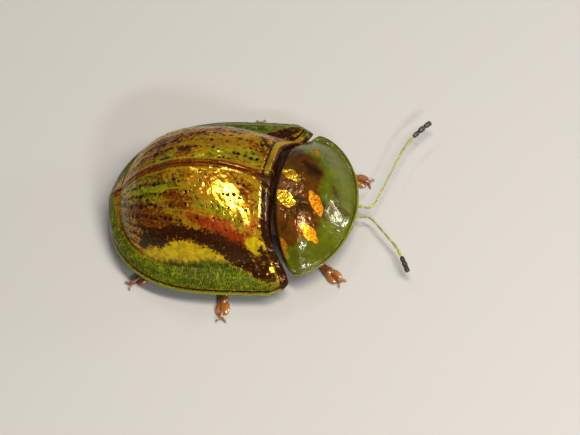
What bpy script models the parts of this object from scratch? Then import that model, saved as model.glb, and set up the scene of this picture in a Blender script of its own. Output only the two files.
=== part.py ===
# Tortoise beetle at life size: two wing cases and a pronotum form a wide shield over the head, the body
# and six legs. Metres, +Z up, head towards +X, the beetle's left side towards +Y. It stands on its feet
# at z = 0. The sizes below are in millimetres, with x measured forward from the middle of the wing cases'
# base and z from the floor; the last step brings the middle of the whole box to x = y = 0.

import math

import bmesh
import bpy
import numpy as np
from mathutils import Vector

MM = 0.001
GAP = 0.05
OBJECT_NAME = "tortoise_beetle"

# Wing cases
RIM_HEIGHT = 0.60
RIM_THICK = 0.14
CASE_THICK = 0.45
APEX_X = -4.05
WIDEST_X = -1.05
CASE_HALF_WIDTH = 2.36
DISC_HEIGHT = 1.90
DISC_CENTRE_X = -1.50
DISC_REAR = 2.20
DISC_FRONT = 1.92
DISC_SIDE = 1.85
DISC_POWER = 2.5
SHOULDER_NARROWING = 0.12
MARGIN_SLOPE = 0.45
MARGIN_WIDTH = 1.20
MARGIN_THICKENING = 0.25
FOOT_BLEND = 0.22
BASE_FORWARD = 0.10
LOBE_FORWARD = 0.42
LOBE_TIP_BACK = 0.16
CALLUS_HEIGHT = 0.07
CALLUS_X = -0.35
CALLUS_Y = 1.15
CALLUS_SPREAD = 0.30

# Scutellum, in the notch between the wing cases
SCUTELLUM_LENGTH = 0.36
SCUTELLUM_HALF_WIDTH = 0.17
SCUTELLUM_THICK = 0.20

# Pronotum
PRONOTUM_HALF_WIDTH = 1.90
PRONOTUM_FRONT_X = 1.86
PRONOTUM_SIDE_X = 0.68
PRONOTUM_BASE_X = 0.05
PRONOTUM_BASE_FORWARD = 0.24
PRONOTUM_CORNER_FORWARD = 0.38
PRONOTUM_EDGE_RISE = 0.20
PRONOTUM_FRONT_DROP = 0.08
PRONOTUM_DOME = 0.80
PRONOTUM_THICK = 0.45

# Underside
BELLY_HEIGHT = 0.72
BELLY_EDGE_RISE = 0.14
TRUNK_FRONT_X = -0.06
TRUNK_SPLIT_X = -1.25
TRUNK_FILL = 0.97
TRUNK_EDGE_THICK = 0.08
STERNITES = 5
STERNITE_STEP = 0.05
PROTHORAX_REAR_X = 0.02
PROTHORAX_FRONT_X = 0.88
PROTHORAX_HALF_WIDTH = 0.88

# Head
HEAD_CENTRE = (1.20, 0.0, 0.62)
HEAD_RADII = (0.31, 0.42, 0.35)
EYE_CENTRE = (1.24, 0.37, 0.70)
EYE_RADII = (0.17, 0.13, 0.22)
MOUTH_CENTRE = (1.36, 0.0, 0.30)
MOUTH_RADII = (0.19, 0.22, 0.16)
PALP_ROUTE = ((1.42, 0.12, 0.27), (1.58, 0.17, 0.24), (1.70, 0.16, 0.19))
PALP_RADIUS = 0.10

# Antennae: eleven beads, the last five a club
ANTENNA_ROUTES = {
    "left": ((1.36, 0.24, 0.62), (1.80, 0.26, 0.48), (2.12, 0.34, 0.48), (2.40, 0.95, 0.55),
             (2.71, 1.83, 0.58), (3.15, 2.42, 0.56)),
    "right": ((1.36, -0.24, 0.62), (1.80, -0.24, 0.48), (2.14, -0.30, 0.46), (2.58, -0.66, 0.50),
              (2.86, -0.98, 0.50), (3.19, -1.46, 0.48)),
}
ANTENNA_BEADS = 11
ANTENNA_CLUB_BEADS = 5
ANTENNA_RADIUS = 0.18
ANTENNA_CLUB_RADIUS = 0.22

# Legs: hip under the body, then knee, ankle and toe; y is measured outwards from the midline
LEG_HIPS = {"front": (0.52, 0.36), "middle": (-0.36, 0.44), "hind": (-1.02, 0.50)}
LEG_BENDS = {
    ("front", "left"): ((0.98, 1.06), (1.36, 1.22), (1.95, 1.08)),
    ("front", "right"): ((0.86, 1.06), (1.14, 1.26), (1.64, 1.66)),
    ("middle", "left"): ((-0.66, 1.48), (-0.88, 2.05), (-0.96, 2.74)),
    ("middle", "right"): ((-0.78, 1.46), (-1.12, 2.02), (-1.08, 2.79)),
    ("hind", "left"): ((-1.98, 1.22), (-2.66, 1.50), (-3.30, 1.98)),
    ("hind", "right"): ((-2.02, 1.18), (-2.76, 1.40), (-3.46, 1.92)),
}
HIP_HEIGHT = 0.42
KNEE_HEIGHT = 0.33
ANKLE_HEIGHT = 0.28
COXA_RADIUS = 0.27
FEMUR_RADIUS = 0.25
TIBIA_RADIUS = 0.24
FOOT_HALF_WIDTH = 0.18
FOOT_LOBE = 0.07
FOOT_HEIGHT = 0.24
FOOT_TIP_HEIGHT = 0.15
FOOT_HEEL = 0.16

# Colour, roughness and metallic value of each material
FINISHES = {
    "wing_case": ((0.34, 0.20, 0.03), 0.18, 0.75),
    "pronotum": ((0.42, 0.23, 0.05), 0.22, 0.55),
    "scutellum": ((0.05, 0.02, 0.01), 0.25, 0.10),
    "underside": ((0.09, 0.045, 0.02), 0.40, 0.0),
    "head": ((0.12, 0.06, 0.02), 0.40, 0.0),
    "eye": ((0.01, 0.01, 0.01), 0.15, 0.0),
    "antenna": ((0.45, 0.30, 0.07), 0.40, 0.0),
    "leg": ((0.42, 0.20, 0.05), 0.35, 0.0),
}


def smooth(low, high, value):
    """An S-shaped step from 0 at low to 1 at high."""
    t = np.clip((value - low) / (high - low), 0, 1)
    return t * t * (3 - 2 * t)


def soft_max(first, second, blend):
    """The larger of two heights, rounded off where they cross."""
    return blend * np.logaddexp(first / blend, second / blend)


def case_half_width(x):
    """Half the width of both wing cases together, from their apex to their base."""
    behind = np.clip((WIDEST_X - x) / (WIDEST_X - APEX_X), 0, 1)
    ahead = np.clip((x - WIDEST_X) / -WIDEST_X, 0, 1)
    rear = (1 - behind ** 2.5) ** (1 / 2.2)
    front = 1 - 0.02 * ahead ** 2 - 0.06 * smooth(0.72, 1, ahead)
    return CASE_HALF_WIDTH * np.where(x < WIDEST_X, rear, front)


def shoulder_share(along):
    """How much of the disc's width is left towards the shoulders."""
    return 1 - SHOULDER_NARROWING * smooth(0, 1, along)


def dome(x, y, height, rear, front, side):
    """The disc of the wing cases: behind its middle a superellipse in plan and a half ellipse in height,
    before it a half ellipse across times a half ellipse along, which keeps the shoulders broad."""
    ahead = x - DISC_CENTRE_X
    behind = np.clip(-ahead / rear, 0, 1)
    rho = (behind ** DISC_POWER + (np.abs(y) / side) ** DISC_POWER) ** (1 / DISC_POWER)
    along = np.clip(ahead / front, 0, 1)
    across = y / (side * shoulder_share(along))
    before = np.sqrt((1 - along ** 2) * np.clip(1 - across ** 2, 0, 1))
    return height * np.where(ahead < 0, np.sqrt(np.clip(1 - rho ** 2, 0, 1)), before)


def outer_dome(x, y):
    return dome(x, y, DISC_HEIGHT, DISC_REAR, DISC_FRONT, DISC_SIDE)


def inner_dome(x, y):
    return dome(x, y, DISC_HEIGHT - CASE_THICK, DISC_REAR - CASE_THICK, DISC_FRONT,
                DISC_SIDE - CASE_THICK)


def inner_half_width(x):
    """Half the width of the room under the wing cases."""
    ahead = x - DISC_CENTRE_X
    behind = np.clip(-ahead / (DISC_REAR - CASE_THICK), 0, 1)
    rest = np.where(ahead < 0, (1 - behind ** DISC_POWER) ** (1 / DISC_POWER),
                    shoulder_share(np.clip(ahead / DISC_FRONT, 0, 1)))
    return (DISC_SIDE - CASE_THICK) * rest


def case_height(x, y, inset, under):
    """Height of a wing case above the rim: the disc, the sloping margin, and the shoulder's callus."""
    margin = MARGIN_SLOPE * np.minimum(inset, MARGIN_WIDTH)
    callus = CALLUS_HEIGHT * np.exp(-((x - CALLUS_X) ** 2 + (y - CALLUS_Y) ** 2) / CALLUS_SPREAD ** 2)
    rounding = FOOT_BLEND * math.log(2) * smooth(0.25, 0, inset)
    upper = soft_max(outer_dome(x, y), margin, FOOT_BLEND) + callus - rounding
    thick = RIM_THICK + MARGIN_THICKENING * smooth(0, 0.8, inset)
    lower = soft_max(inner_dome(x, y), margin - thick, FOOT_BLEND) - rounding
    return np.where(under, np.minimum(lower, upper - RIM_THICK), upper)


def case_point(side):
    """A wing case on a grid: u runs from the apex to the base, v from the suture out to the rim."""
    def point(u, v, under):
        x = APEX_X - APEX_X * (1 - np.cos(0.5 * np.pi * u)) * (0.35 + 0.65 * u)
        across = np.sin(0.5 * np.pi * v) * 0.55 + v * 0.45
        half = case_half_width(x)
        notch = SCUTELLUM_HALF_WIDTH * np.clip(1 + x / SCUTELLUM_LENGTH, 0, 1)
        inner = 0.5 * GAP + notch
        outer = np.maximum(half, inner)
        y = inner + across * (outer - inner)
        lobe = BASE_FORWARD * across + LOBE_FORWARD * smooth(0.45, 0.95, across)
        lobe -= LOBE_TIP_BACK * smooth(0.90, 1, across) ** 2
        inset = outer - y
        forward = x + lobe * smooth(-1.6, 0, x)
        z = RIM_HEIGHT + case_height(forward, y, inset, under)
        return forward, side * y, z
    return point


def scutellum_point(u, v, under):
    """A low triangle, its tip towards the apex, level with the wing cases beside it."""
    x = -SCUTELLUM_LENGTH + GAP + u * (SCUTELLUM_LENGTH - GAP)
    half = (SCUTELLUM_HALF_WIDTH - 0.5 * GAP) * np.clip(u, 0.04, 1)
    y = (2 * v - 1) * half
    top = RIM_HEIGHT + outer_dome(x, y) - 0.02
    return x, y, np.where(under, top - SCUTELLUM_THICK, top)


def pronotum_front(y):
    """x of the pronotum's front edge at y."""
    inside = np.clip(1 - (y / PRONOTUM_HALF_WIDTH) ** 2, 0, 1)
    return PRONOTUM_SIDE_X + (PRONOTUM_FRONT_X - PRONOTUM_SIDE_X) * inside ** (1 / 1.6)


def pronotum_base(y):
    """x of the pronotum's rear edge at y, which bends forward towards the hind corners."""
    out = np.abs(y) / PRONOTUM_HALF_WIDTH
    return PRONOTUM_BASE_X + PRONOTUM_BASE_FORWARD * out ** 1.2 + PRONOTUM_CORNER_FORWARD * out ** 6


def pronotum_height(x, y, under):
    """Height of the pronotum above the wing cases' rim: a low dome with a wide thin margin."""
    ahead = np.clip(x - PRONOTUM_SIDE_X, 0, None) / (PRONOTUM_FRONT_X - PRONOTUM_SIDE_X)
    rho = np.clip(ahead ** 1.6 + (y / PRONOTUM_HALF_WIDTH) ** 2, 0, 1) ** (1 / 1.8)
    edge = PRONOTUM_EDGE_RISE - PRONOTUM_FRONT_DROP * ahead
    rise = PRONOTUM_DOME * (1 - np.clip(rho / 0.92, 0, 1) ** 2.6) ** 1.2
    thick = RIM_THICK + (PRONOTUM_THICK - RIM_THICK) * (1 - rho ** 2)
    return edge + rise - np.where(under, thick, 0)


def pronotum_point(u, v, under):
    """The pronotum on a grid: u runs from its right to its left corner, v from its base to its front."""
    y = PRONOTUM_HALF_WIDTH * np.sin(np.pi * (u - 0.5))
    base = pronotum_base(y)
    front = np.maximum(pronotum_front(y), base + 0.03)
    x = base + v * (front - base)
    return x, y, RIM_HEIGHT + pronotum_height(x, y, under)


def belly_height(across):
    """Height of the underside above the floor, rising towards its edges."""
    return BELLY_HEIGHT + BELLY_EDGE_RISE * np.abs(across) ** 4


def trunk_point(x, v, under):
    """The body under the wing cases, between its underside and the room's ceiling."""
    across = 2 * v - 1
    y = across * np.maximum(TRUNK_FILL * inner_half_width(x), 0.02)
    top = RIM_HEIGHT + inner_dome(x, y) - GAP
    return x, y, top, np.minimum(belly_height(across), top - TRUNK_EDGE_THICK)


def thorax_point(u, v, under):
    """Middle and hind thorax, with a shallow groove along the middle of the breastplate."""
    x = TRUNK_SPLIT_X + 0.5 * GAP + u * (TRUNK_FRONT_X - TRUNK_SPLIT_X - 0.5 * GAP)
    x, y, top, low = trunk_point(x, v, under)
    groove = 0.05 * np.exp(-(y / 0.12) ** 2)
    return x, y, np.where(under, low + groove, top)


def abdomen_point(u, v, under):
    """Abdomen, whose plates step up one after another towards its tip."""
    tip = DISC_CENTRE_X - TRUNK_FILL * (DISC_REAR - CASE_THICK)
    front = TRUNK_SPLIT_X - 0.5 * GAP
    x = tip + (1 - np.cos(0.5 * np.pi * u)) * (front - tip)
    x, y, top, low = trunk_point(x, v, under)
    plate = (front - x) / (front - tip) * STERNITES
    step = STERNITE_STEP * (plate - np.floor(plate))
    return x, y, np.where(under, np.minimum(low + step, top - TRUNK_EDGE_THICK), top)


def prothorax_point(u, v, under):
    """Fore part of the thorax, between the pronotum and the front hips."""
    across = 2 * v - 1
    x = PROTHORAX_REAR_X + u * (PROTHORAX_FRONT_X - PROTHORAX_REAR_X)
    half = PROTHORAX_HALF_WIDTH * (1 - 0.35 * u ** 3)
    y = across * half
    x = np.maximum(x, pronotum_base(y) + GAP)
    top = RIM_HEIGHT + pronotum_height(x, y, True) - GAP
    low = belly_height(across) + 0.10 * u ** 2
    return x, y, np.where(under, low, top)


def foot_point(ankle, toe):
    """A foot on a grid: lobed pads along its length u, rounded above and flat on the floor."""
    start, end = Vector(ankle), Vector(toe)
    ahead = (end - start).normalized()
    start -= FOOT_HEEL * ahead
    across_x, across_y = -ahead.y, ahead.x

    def point(u, v, under):
        across = 2 * v - 1
        ends = np.clip(1 - np.abs(2 * u - 1) ** 8, 0.08, 1) ** 0.5
        half = (FOOT_HALF_WIDTH + FOOT_LOBE * np.abs(np.sin(2.5 * np.pi * u))) * ends
        height = (FOOT_HEIGHT + (FOOT_TIP_HEIGHT - FOOT_HEIGHT) * u) * ends
        x = start.x + u * (end.x - start.x) + across_x * across * half
        y = start.y + u * (end.y - start.y) + across_y * across * half
        top = height * (0.35 + 0.65 * np.sqrt(np.clip(1 - across ** 2, 0, 1)))
        return x, y, np.where(under, 0.0, top)
    return point


def smooth_route(points, count):
    """Points read from a Catmull-Rom curve through the given ones."""
    fixed = np.array(points, float)
    padded = np.vstack([2 * fixed[0] - fixed[1], fixed, 2 * fixed[-1] - fixed[-2]])
    along = np.linspace(0, len(fixed) - 1, count)
    piece = np.minimum(along.astype(int), len(fixed) - 2)
    t = (along - piece)[:, None]
    a, b, c, d = (padded[piece + k] for k in range(4))
    return 0.5 * (2 * b + (c - a) * t + (2 * a - 5 * b + 4 * c - d) * t ** 2
                  + (3 * b - a - 3 * c + d) * t ** 3)


def material(name):
    """The named finish as a Principled material."""
    colour, roughness, metallic = FINISHES[name]
    made = bpy.data.materials.new(name)
    made.use_nodes = True
    shader = made.node_tree.nodes["Principled BSDF"]
    shader.inputs["Base Color"].default_value = (*colour, 1)
    shader.inputs["Roughness"].default_value = roughness
    shader.inputs["Metallic"].default_value = metallic
    made.diffuse_color = (*colour, 1)
    return made


def new_object(name, mesh):
    obj = bpy.data.objects.new(name, mesh)
    bpy.context.scene.collection.objects.link(obj)
    return obj


def from_bmesh(name, bm):
    mesh = bpy.data.meshes.new(name)
    bm.to_mesh(mesh)
    bm.free()
    return new_object(name, mesh)


def bent_plate(name, rows, columns, point):
    """A flat grid extruded into a plate, whose two skins are then moved to point(u, v, under)."""
    bm = bmesh.new()
    bmesh.ops.create_grid(bm, x_segments=rows, y_segments=columns, size=0.5)
    moved = bmesh.ops.extrude_face_region(bm, geom=bm.faces[:])["geom"]
    upper = {item for item in moved if isinstance(item, bmesh.types.BMVert)}
    verts = list(bm.verts)
    u = np.array([vert.co.x + 0.5 for vert in verts])
    v = np.array([vert.co.y + 0.5 for vert in verts])
    under = np.array([vert not in upper for vert in verts])
    placed = np.stack(np.broadcast_arrays(*point(u, v, under)), axis=-1) * MM
    for vert, place in zip(verts, placed):
        vert.co = place
    bmesh.ops.remove_doubles(bm, verts=bm.verts, dist=1e-7)
    bmesh.ops.recalc_face_normals(bm, faces=bm.faces)
    bmesh.ops.triangulate(bm, faces=bm.faces, quad_method="FIXED")
    return from_bmesh(name, bm)


def ball(name, centre, radii, segments=14, rings=9):
    """An ellipsoid."""
    bm = bmesh.new()
    bmesh.ops.create_uvsphere(bm, u_segments=segments, v_segments=rings, radius=1)
    bmesh.ops.scale(bm, vec=Vector(radii) * MM, verts=bm.verts)
    bmesh.ops.translate(bm, vec=Vector(centre) * MM, verts=bm.verts)
    return from_bmesh(name, bm)


def tube(name, route, radii, resolution=2):
    """A round limb: a bevelled curve along the route, with a radius of its own at each point."""
    curve = bpy.data.curves.new(name, "CURVE")
    curve.dimensions = "3D"
    curve.bevel_depth = MM
    curve.bevel_resolution = resolution
    curve.use_fill_caps = True
    spline = curve.splines.new("POLY")
    spline.points.add(len(route) - 1)
    for item, place, radius in zip(spline.points, route, radii):
        item.co = (*(place * MM), 1)
        item.radius = radius
    guide = new_object(name + "_curve", curve)
    mesh = evaluated_mesh(guide)
    bpy.data.objects.remove(guide)
    bm = bmesh.new()
    bm.from_mesh(mesh)
    bmesh.ops.remove_doubles(bm, verts=bm.verts, dist=1e-7)
    bmesh.ops.recalc_face_normals(bm, faces=bm.faces)
    return from_bmesh(name, bm)


def evaluated_mesh(obj):
    """The object's mesh with its modifiers or bevel applied."""
    graph = bpy.context.evaluated_depsgraph_get()
    return bpy.data.meshes.new_from_object(obj.evaluated_get(graph))


def keep_largest(obj):
    """Drop every loose surface of the object but its largest."""
    bm = bmesh.new()
    bm.from_mesh(obj.data)
    left = set(bm.faces)
    surfaces = []
    while left:
        front = [left.pop()]
        found = list(front)
        while front:
            face = front.pop()
            near = {other for edge in face.edges for other in edge.link_faces} & left
            left -= near
            front += near
            found += near
        surfaces.append(found)
    surfaces.sort(key=lambda faces: sum(face.calc_area() for face in faces))
    bmesh.ops.delete(bm, geom=[face for faces in surfaces[:-1] for face in faces], context="FACES")
    bm.to_mesh(obj.data)
    bm.free()


def combine(obj, others, operation):
    """One Boolean with a collection of closed meshes, applied, with the collection's objects removed."""
    tools = bpy.data.collections.new(obj.name + "_tools")
    bpy.context.scene.collection.children.link(tools)
    for other in others:
        tools.objects.link(other)
    boolean = obj.modifiers.new("combine", "BOOLEAN")
    boolean.operand_type = "COLLECTION"
    boolean.collection = tools
    boolean.operation = operation
    boolean.solver = "EXACT"
    mesh = evaluated_mesh(obj)
    obj.modifiers.clear()
    obj.data = mesh
    for other in others:
        bpy.data.objects.remove(other)
    bpy.data.collections.remove(tools)
    keep_largest(obj)
    return obj


def grown(obj):
    """A copy whose surface lies one gap outside the object's."""
    mesh = obj.data.copy()
    places = np.empty(3 * len(mesh.vertices))
    normals = np.empty(3 * len(mesh.vertices))
    mesh.vertices.foreach_get("co", places)
    mesh.vertex_normals.foreach_get("vector", normals)
    mesh.vertices.foreach_set("co", places + GAP * MM * normals)
    return new_object(obj.name + "_grown", mesh)


def cut_clear(obj, neighbours):
    """Cut the object back until it meets each neighbour face to face, one gap away."""
    for neighbour in neighbours:
        combine(obj, [grown(neighbour)], "DIFFERENCE")
    return obj


def shield():
    """Wing cases, scutellum and pronotum."""
    made = {}
    for side, sign in (("left", 1), ("right", -1)):
        made["wing_case_" + side] = (bent_plate("wing_case_" + side, 30, 15, case_point(sign)), "wing_case")
    made["scutellum"] = (bent_plate("scutellum", 4, 4, scutellum_point), "scutellum")
    made["pronotum"] = (bent_plate("pronotum", 26, 10, pronotum_point), "pronotum")
    return made


def trunk():
    """Prothorax, thorax and abdomen."""
    return {
        "prothorax": (bent_plate("prothorax", 6, 12, prothorax_point), "underside"),
        "thorax": (bent_plate("thorax", 8, 14, thorax_point), "underside"),
        "abdomen": (bent_plate("abdomen", 25, 12, abdomen_point), "underside"),
    }


def mirrored(place, sign):
    return place[0], place[1] * sign, place[2]


def head_pieces(prothorax):
    """Head with its eyes in sockets, and the mouth with two palps below it."""
    head = ball("head", HEAD_CENTRE, HEAD_RADII, 18, 11)
    mouth = ball("mouthparts", MOUTH_CENTRE, MOUTH_RADII)
    palps = []
    for sign in (1, -1):
        route = smooth_route([mirrored(place, sign) for place in PALP_ROUTE], 6)
        radii = PALP_RADIUS * np.array([1, 1, 0.95, 1, 0.8, 0.35])
        palps.append(tube("palp", route, radii))
    combine(mouth, palps, "UNION")
    eyes = {}
    for side, sign in (("left", 1), ("right", -1)):
        eyes["eye_" + side] = (ball("eye_" + side, mirrored(EYE_CENTRE, sign), EYE_RADII), "eye")
    cut_clear(head, [eye for eye, finish in eyes.values()] + [prothorax])
    cut_clear(mouth, [head])
    return {"head": (head, "head"), "mouthparts": (mouth, "head"), **eyes}


def antenna_radii(count):
    """Radius along an antenna: beads of even length, a thicker club, and a tapered tip."""
    along = np.linspace(0, 1, count)
    bead = np.abs(np.sin(ANTENNA_BEADS * np.pi * along))
    club = smooth(1 - ANTENNA_CLUB_BEADS / ANTENNA_BEADS - 0.05, 1 - ANTENNA_CLUB_BEADS / ANTENNA_BEADS + 0.08,
                  along)
    size = ANTENNA_RADIUS + (ANTENNA_CLUB_RADIUS - ANTENNA_RADIUS) * club
    return size * (0.86 + 0.14 * bead) * (1 - 0.6 * smooth(0.93, 1, along))


def antennae(head_nodes):
    made = {}
    count = 3 * ANTENNA_BEADS + 1
    for side, places in ANTENNA_ROUTES.items():
        name = "antenna_" + side
        feeler = tube(name, smooth_route(places, count), antenna_radii(count))
        made[name] = (cut_clear(feeler, head_nodes), "antenna")
    return made


def leg(pair, side, body):
    """Femur with its coxa, tibia and foot, each cut clear of what it grows from."""
    sign = 1 if side == "left" else -1
    hip_x, hip_y = LEG_HIPS[pair]
    hip = (hip_x, sign * hip_y, HIP_HEIGHT)
    knee, ankle, toe = ((x, sign * y) for x, y in LEG_BENDS[pair, side])
    knee, ankle = (*knee, KNEE_HEIGHT), (*ankle, ANKLE_HEIGHT)
    name = "_".join((pair, "{}", side))

    femur_radii = FEMUR_RADIUS * np.array([0.55, 0.86, 0.98, 1.0, 0.96, 0.88, 0.55])
    femur = tube(name.format("femur"), smooth_route((hip, knee), 7), femur_radii)
    coxa = ball("coxa", (hip_x, sign * hip_y, BELLY_HEIGHT - 0.5 * COXA_RADIUS),
                (COXA_RADIUS,) * 3, 12, 8)
    combine(femur, [coxa], "UNION")
    cut_clear(femur, body)

    tibia_radii = np.array([0.5, 0.85, 0.98, 1.0, 0.9, 0.75, 0.45]) * TIBIA_RADIUS
    tibia = tube(name.format("tibia"), smooth_route((knee, ankle), 7), tibia_radii)
    foot = bent_plate(name.format("tarsus"), 10, 6, foot_point((*ankle[:2], 0), (*toe, 0)))
    cut_clear(tibia, [femur, foot])
    return {piece.name: (piece, "leg") for piece in (femur, tibia, foot)}


def legs(nodes):
    made = {}
    for pair, side in LEG_BENDS:
        body = [nodes["prothorax"][0]] if pair == "front" else [nodes["thorax"][0], nodes["abdomen"][0]]
        made.update(leg(pair, side, body))
    return made


def bounds(objects):
    """Lowest and highest corners of all the meshes together."""
    places = np.array([vert.co for obj in objects for vert in obj.data.vertices])
    return places.min(axis=0), places.max(axis=0)


def gather(nodes):
    """Give each piece its material, and hang all of them on one empty that centres them."""
    collection = bpy.data.collections.new(OBJECT_NAME)
    bpy.context.scene.collection.children.link(collection)
    low, high = bounds([obj for obj, finish in nodes.values()])
    centre = bpy.data.objects.new(OBJECT_NAME + "_centre", None)
    centre.location = (-0.5 * (low[0] + high[0]), -0.5 * (low[1] + high[1]), -low[2])
    collection.objects.link(centre)
    materials = {name: material(name) for name in FINISHES}
    for name, (obj, finish) in nodes.items():
        bpy.context.scene.collection.objects.unlink(obj)
        collection.objects.link(obj)
        obj.name = name
        obj.parent = centre
        obj.data.materials.clear()
        obj.data.materials.append(materials[finish])
        obj.data.shade_smooth()
        obj.data.set_sharp_from_angle(angle=math.radians(40))


def main():
    for obj in list(bpy.data.objects):
        bpy.data.objects.remove(obj)
    nodes = shield()
    nodes.update(trunk())
    nodes.update(head_pieces(nodes["prothorax"][0]))
    nodes.update(antennae([nodes[name][0] for name in ("head", "eye_left", "eye_right", "mouthparts")]))
    nodes.update(legs(nodes))
    gather(nodes)


main()
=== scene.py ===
# Tortoise beetle, life size, standing on its six feet: two gold wing cases and a pronotum with clear
# margins form a shield over the head, the body and the short legs. Sizes in the dictionaries are in
# millimetres: x forward from the middle of the wing cases' base, y to the beetle's left, z from the floor.
import math

import bmesh
import bpy
import numpy as np
from mathutils import Matrix, Vector


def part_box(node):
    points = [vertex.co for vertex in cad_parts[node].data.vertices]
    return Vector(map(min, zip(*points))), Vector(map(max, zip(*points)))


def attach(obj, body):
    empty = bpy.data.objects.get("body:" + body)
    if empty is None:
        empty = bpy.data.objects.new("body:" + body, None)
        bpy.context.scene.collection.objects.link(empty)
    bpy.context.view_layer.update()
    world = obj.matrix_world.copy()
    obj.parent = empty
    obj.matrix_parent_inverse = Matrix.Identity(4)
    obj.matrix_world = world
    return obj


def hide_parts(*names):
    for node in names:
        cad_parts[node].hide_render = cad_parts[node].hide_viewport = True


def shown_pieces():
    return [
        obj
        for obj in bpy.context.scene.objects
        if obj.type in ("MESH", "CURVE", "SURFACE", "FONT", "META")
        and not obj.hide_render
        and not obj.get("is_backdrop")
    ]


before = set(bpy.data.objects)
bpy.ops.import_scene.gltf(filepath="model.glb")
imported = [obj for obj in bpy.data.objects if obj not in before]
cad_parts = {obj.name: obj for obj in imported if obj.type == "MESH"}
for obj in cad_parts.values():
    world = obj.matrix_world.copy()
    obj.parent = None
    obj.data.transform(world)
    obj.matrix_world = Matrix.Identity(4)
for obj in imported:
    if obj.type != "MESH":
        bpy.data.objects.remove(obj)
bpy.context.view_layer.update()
mm = 0.001
print("frame loaded:", len(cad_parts), "solids")

caseShape = {
    "seam": 0.012,            # half the hair line between the two cases
    "rimHeight": 0.60,
    "rimThick": 0.14,
    "edgeThick": 0.075,       # the plates thin out to this at their very edge
    "edgeRun": 0.35,          # and begin to this far in
    "marginThickening": 0.25,
    "thickeningRun": 0.80,
    "roomInset": 0.45,        # the room under the disc is this much smaller than its outside
    "apexX": -4.05,
    "widestX": -1.05,
    "halfWidth": 2.36,
    "rearPower": 2.5,
    "rearRound": 2.2,
    "waist": 0.02,            # how much narrower the base is than the widest place
    "lobeNarrowing": 0.06,
    "discHeight": 1.90,
    "discCentreX": -1.50,
    "discRear": 2.20,
    "discFront": 1.92,
    "discSide": 1.85,
    "discPower": 2.5,
    "shoulderNarrowing": 0.12,
    "marginSlope": 0.45,
    "marginWidth": 1.20,
    "footBlend": 0.22,
    "rimRun": 0.25,           # the blend's own height is taken off over this much of the rim
    "baseForward": 0.10,
    "lobeForward": 0.42,
    "lobeTipBack": 0.16,
    "callus": (-0.35, 1.15, 0.30, 0.07),   # x, y, spread, height of the shoulder's bump
    "notchLength": 0.36,
    "notchHalfWidth": 0.17,
}
# the frame stands centred on its own box, so the wing case's rear tip and inner edge give the shift
caseCorner = np.array(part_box("wing_case_left")[0]) / mm
shift = np.array([caseCorner[0] - caseShape["apexX"], caseCorner[1] - 0.025, 0.0])


def smooth(low, high, value):
    # t * t * (3 - 2t), with t = (value - low) / (high - low) kept between 0 and 1
    t = np.clip((value - low) / (high - low), 0, 1)
    return t * t * (3 - 2 * t)


def softMax(first, second, blend):
    # blend * log(exp(first / blend) + exp(second / blend))
    return blend * np.logaddexp(first / blend, second / blend)


def roundOver(distance, radius):
    # a quarter circle at an edge: radius * (1 - sqrt(1 - (1 - distance / radius)^2))
    t = np.clip(1 - distance / radius, 0, 1)
    return radius * (1 - np.sqrt(np.clip(1 - t * t, 0, 1)))


def scatter(i, j, seed):
    # a fixed number from 0 to 1 for each cell (i, j): the fraction of a large sine
    value = np.sin(i * 12.9898 + j * 78.233 + seed * 37.719) * 43758.5453
    return value - np.floor(value)


def ripple(x, y, size, seed):
    # scattered cell values blended smoothly between cell corners, from -1 to 1; size is a cell's width
    cx, cy = x / size, y / size
    ix, iy = np.floor(cx), np.floor(cy)
    tx, ty = smooth(0, 1, cx - ix), smooth(0, 1, cy - iy)
    low = scatter(ix, iy, seed) * (1 - tx) + scatter(ix + 1, iy, seed) * tx
    high = scatter(ix, iy + 1, seed) * (1 - tx) + scatter(ix + 1, iy + 1, seed) * tx
    return 2 * (low * (1 - ty) + high * ty) - 1


def smoothRoute(points, count):
    # a Catmull-Rom curve through the points, read at even steps of its parameter
    fixed = np.array(points, float)
    padded = np.vstack([2 * fixed[0] - fixed[1], fixed, 2 * fixed[-1] - fixed[-2]])
    along = np.linspace(0, len(fixed) - 1, count)
    piece = np.minimum(along.astype(int), len(fixed) - 2)
    t = (along - piece)[:, None]
    a, b, c, d = (padded[piece + k] for k in range(4))
    return 0.5 * (2 * b + (c - a) * t + (2 * a - 5 * b + 4 * c - d) * t ** 2
                  + (3 * b - a - 3 * c + d) * t ** 3)


def gridFaces(rows, columns, start=0, loop=False):
    # quads between neighbours of a rows x columns grid of points; loop joins the last column to the first
    index = start + np.arange(rows * columns).reshape(rows, columns)
    if loop:
        index = np.hstack([index, index[:, :1]])
    quads = [index[:-1, :-1], index[1:, :-1], index[1:, 1:], index[:-1, 1:]]
    return np.stack(quads, axis=-1).reshape(-1, 4)


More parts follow.
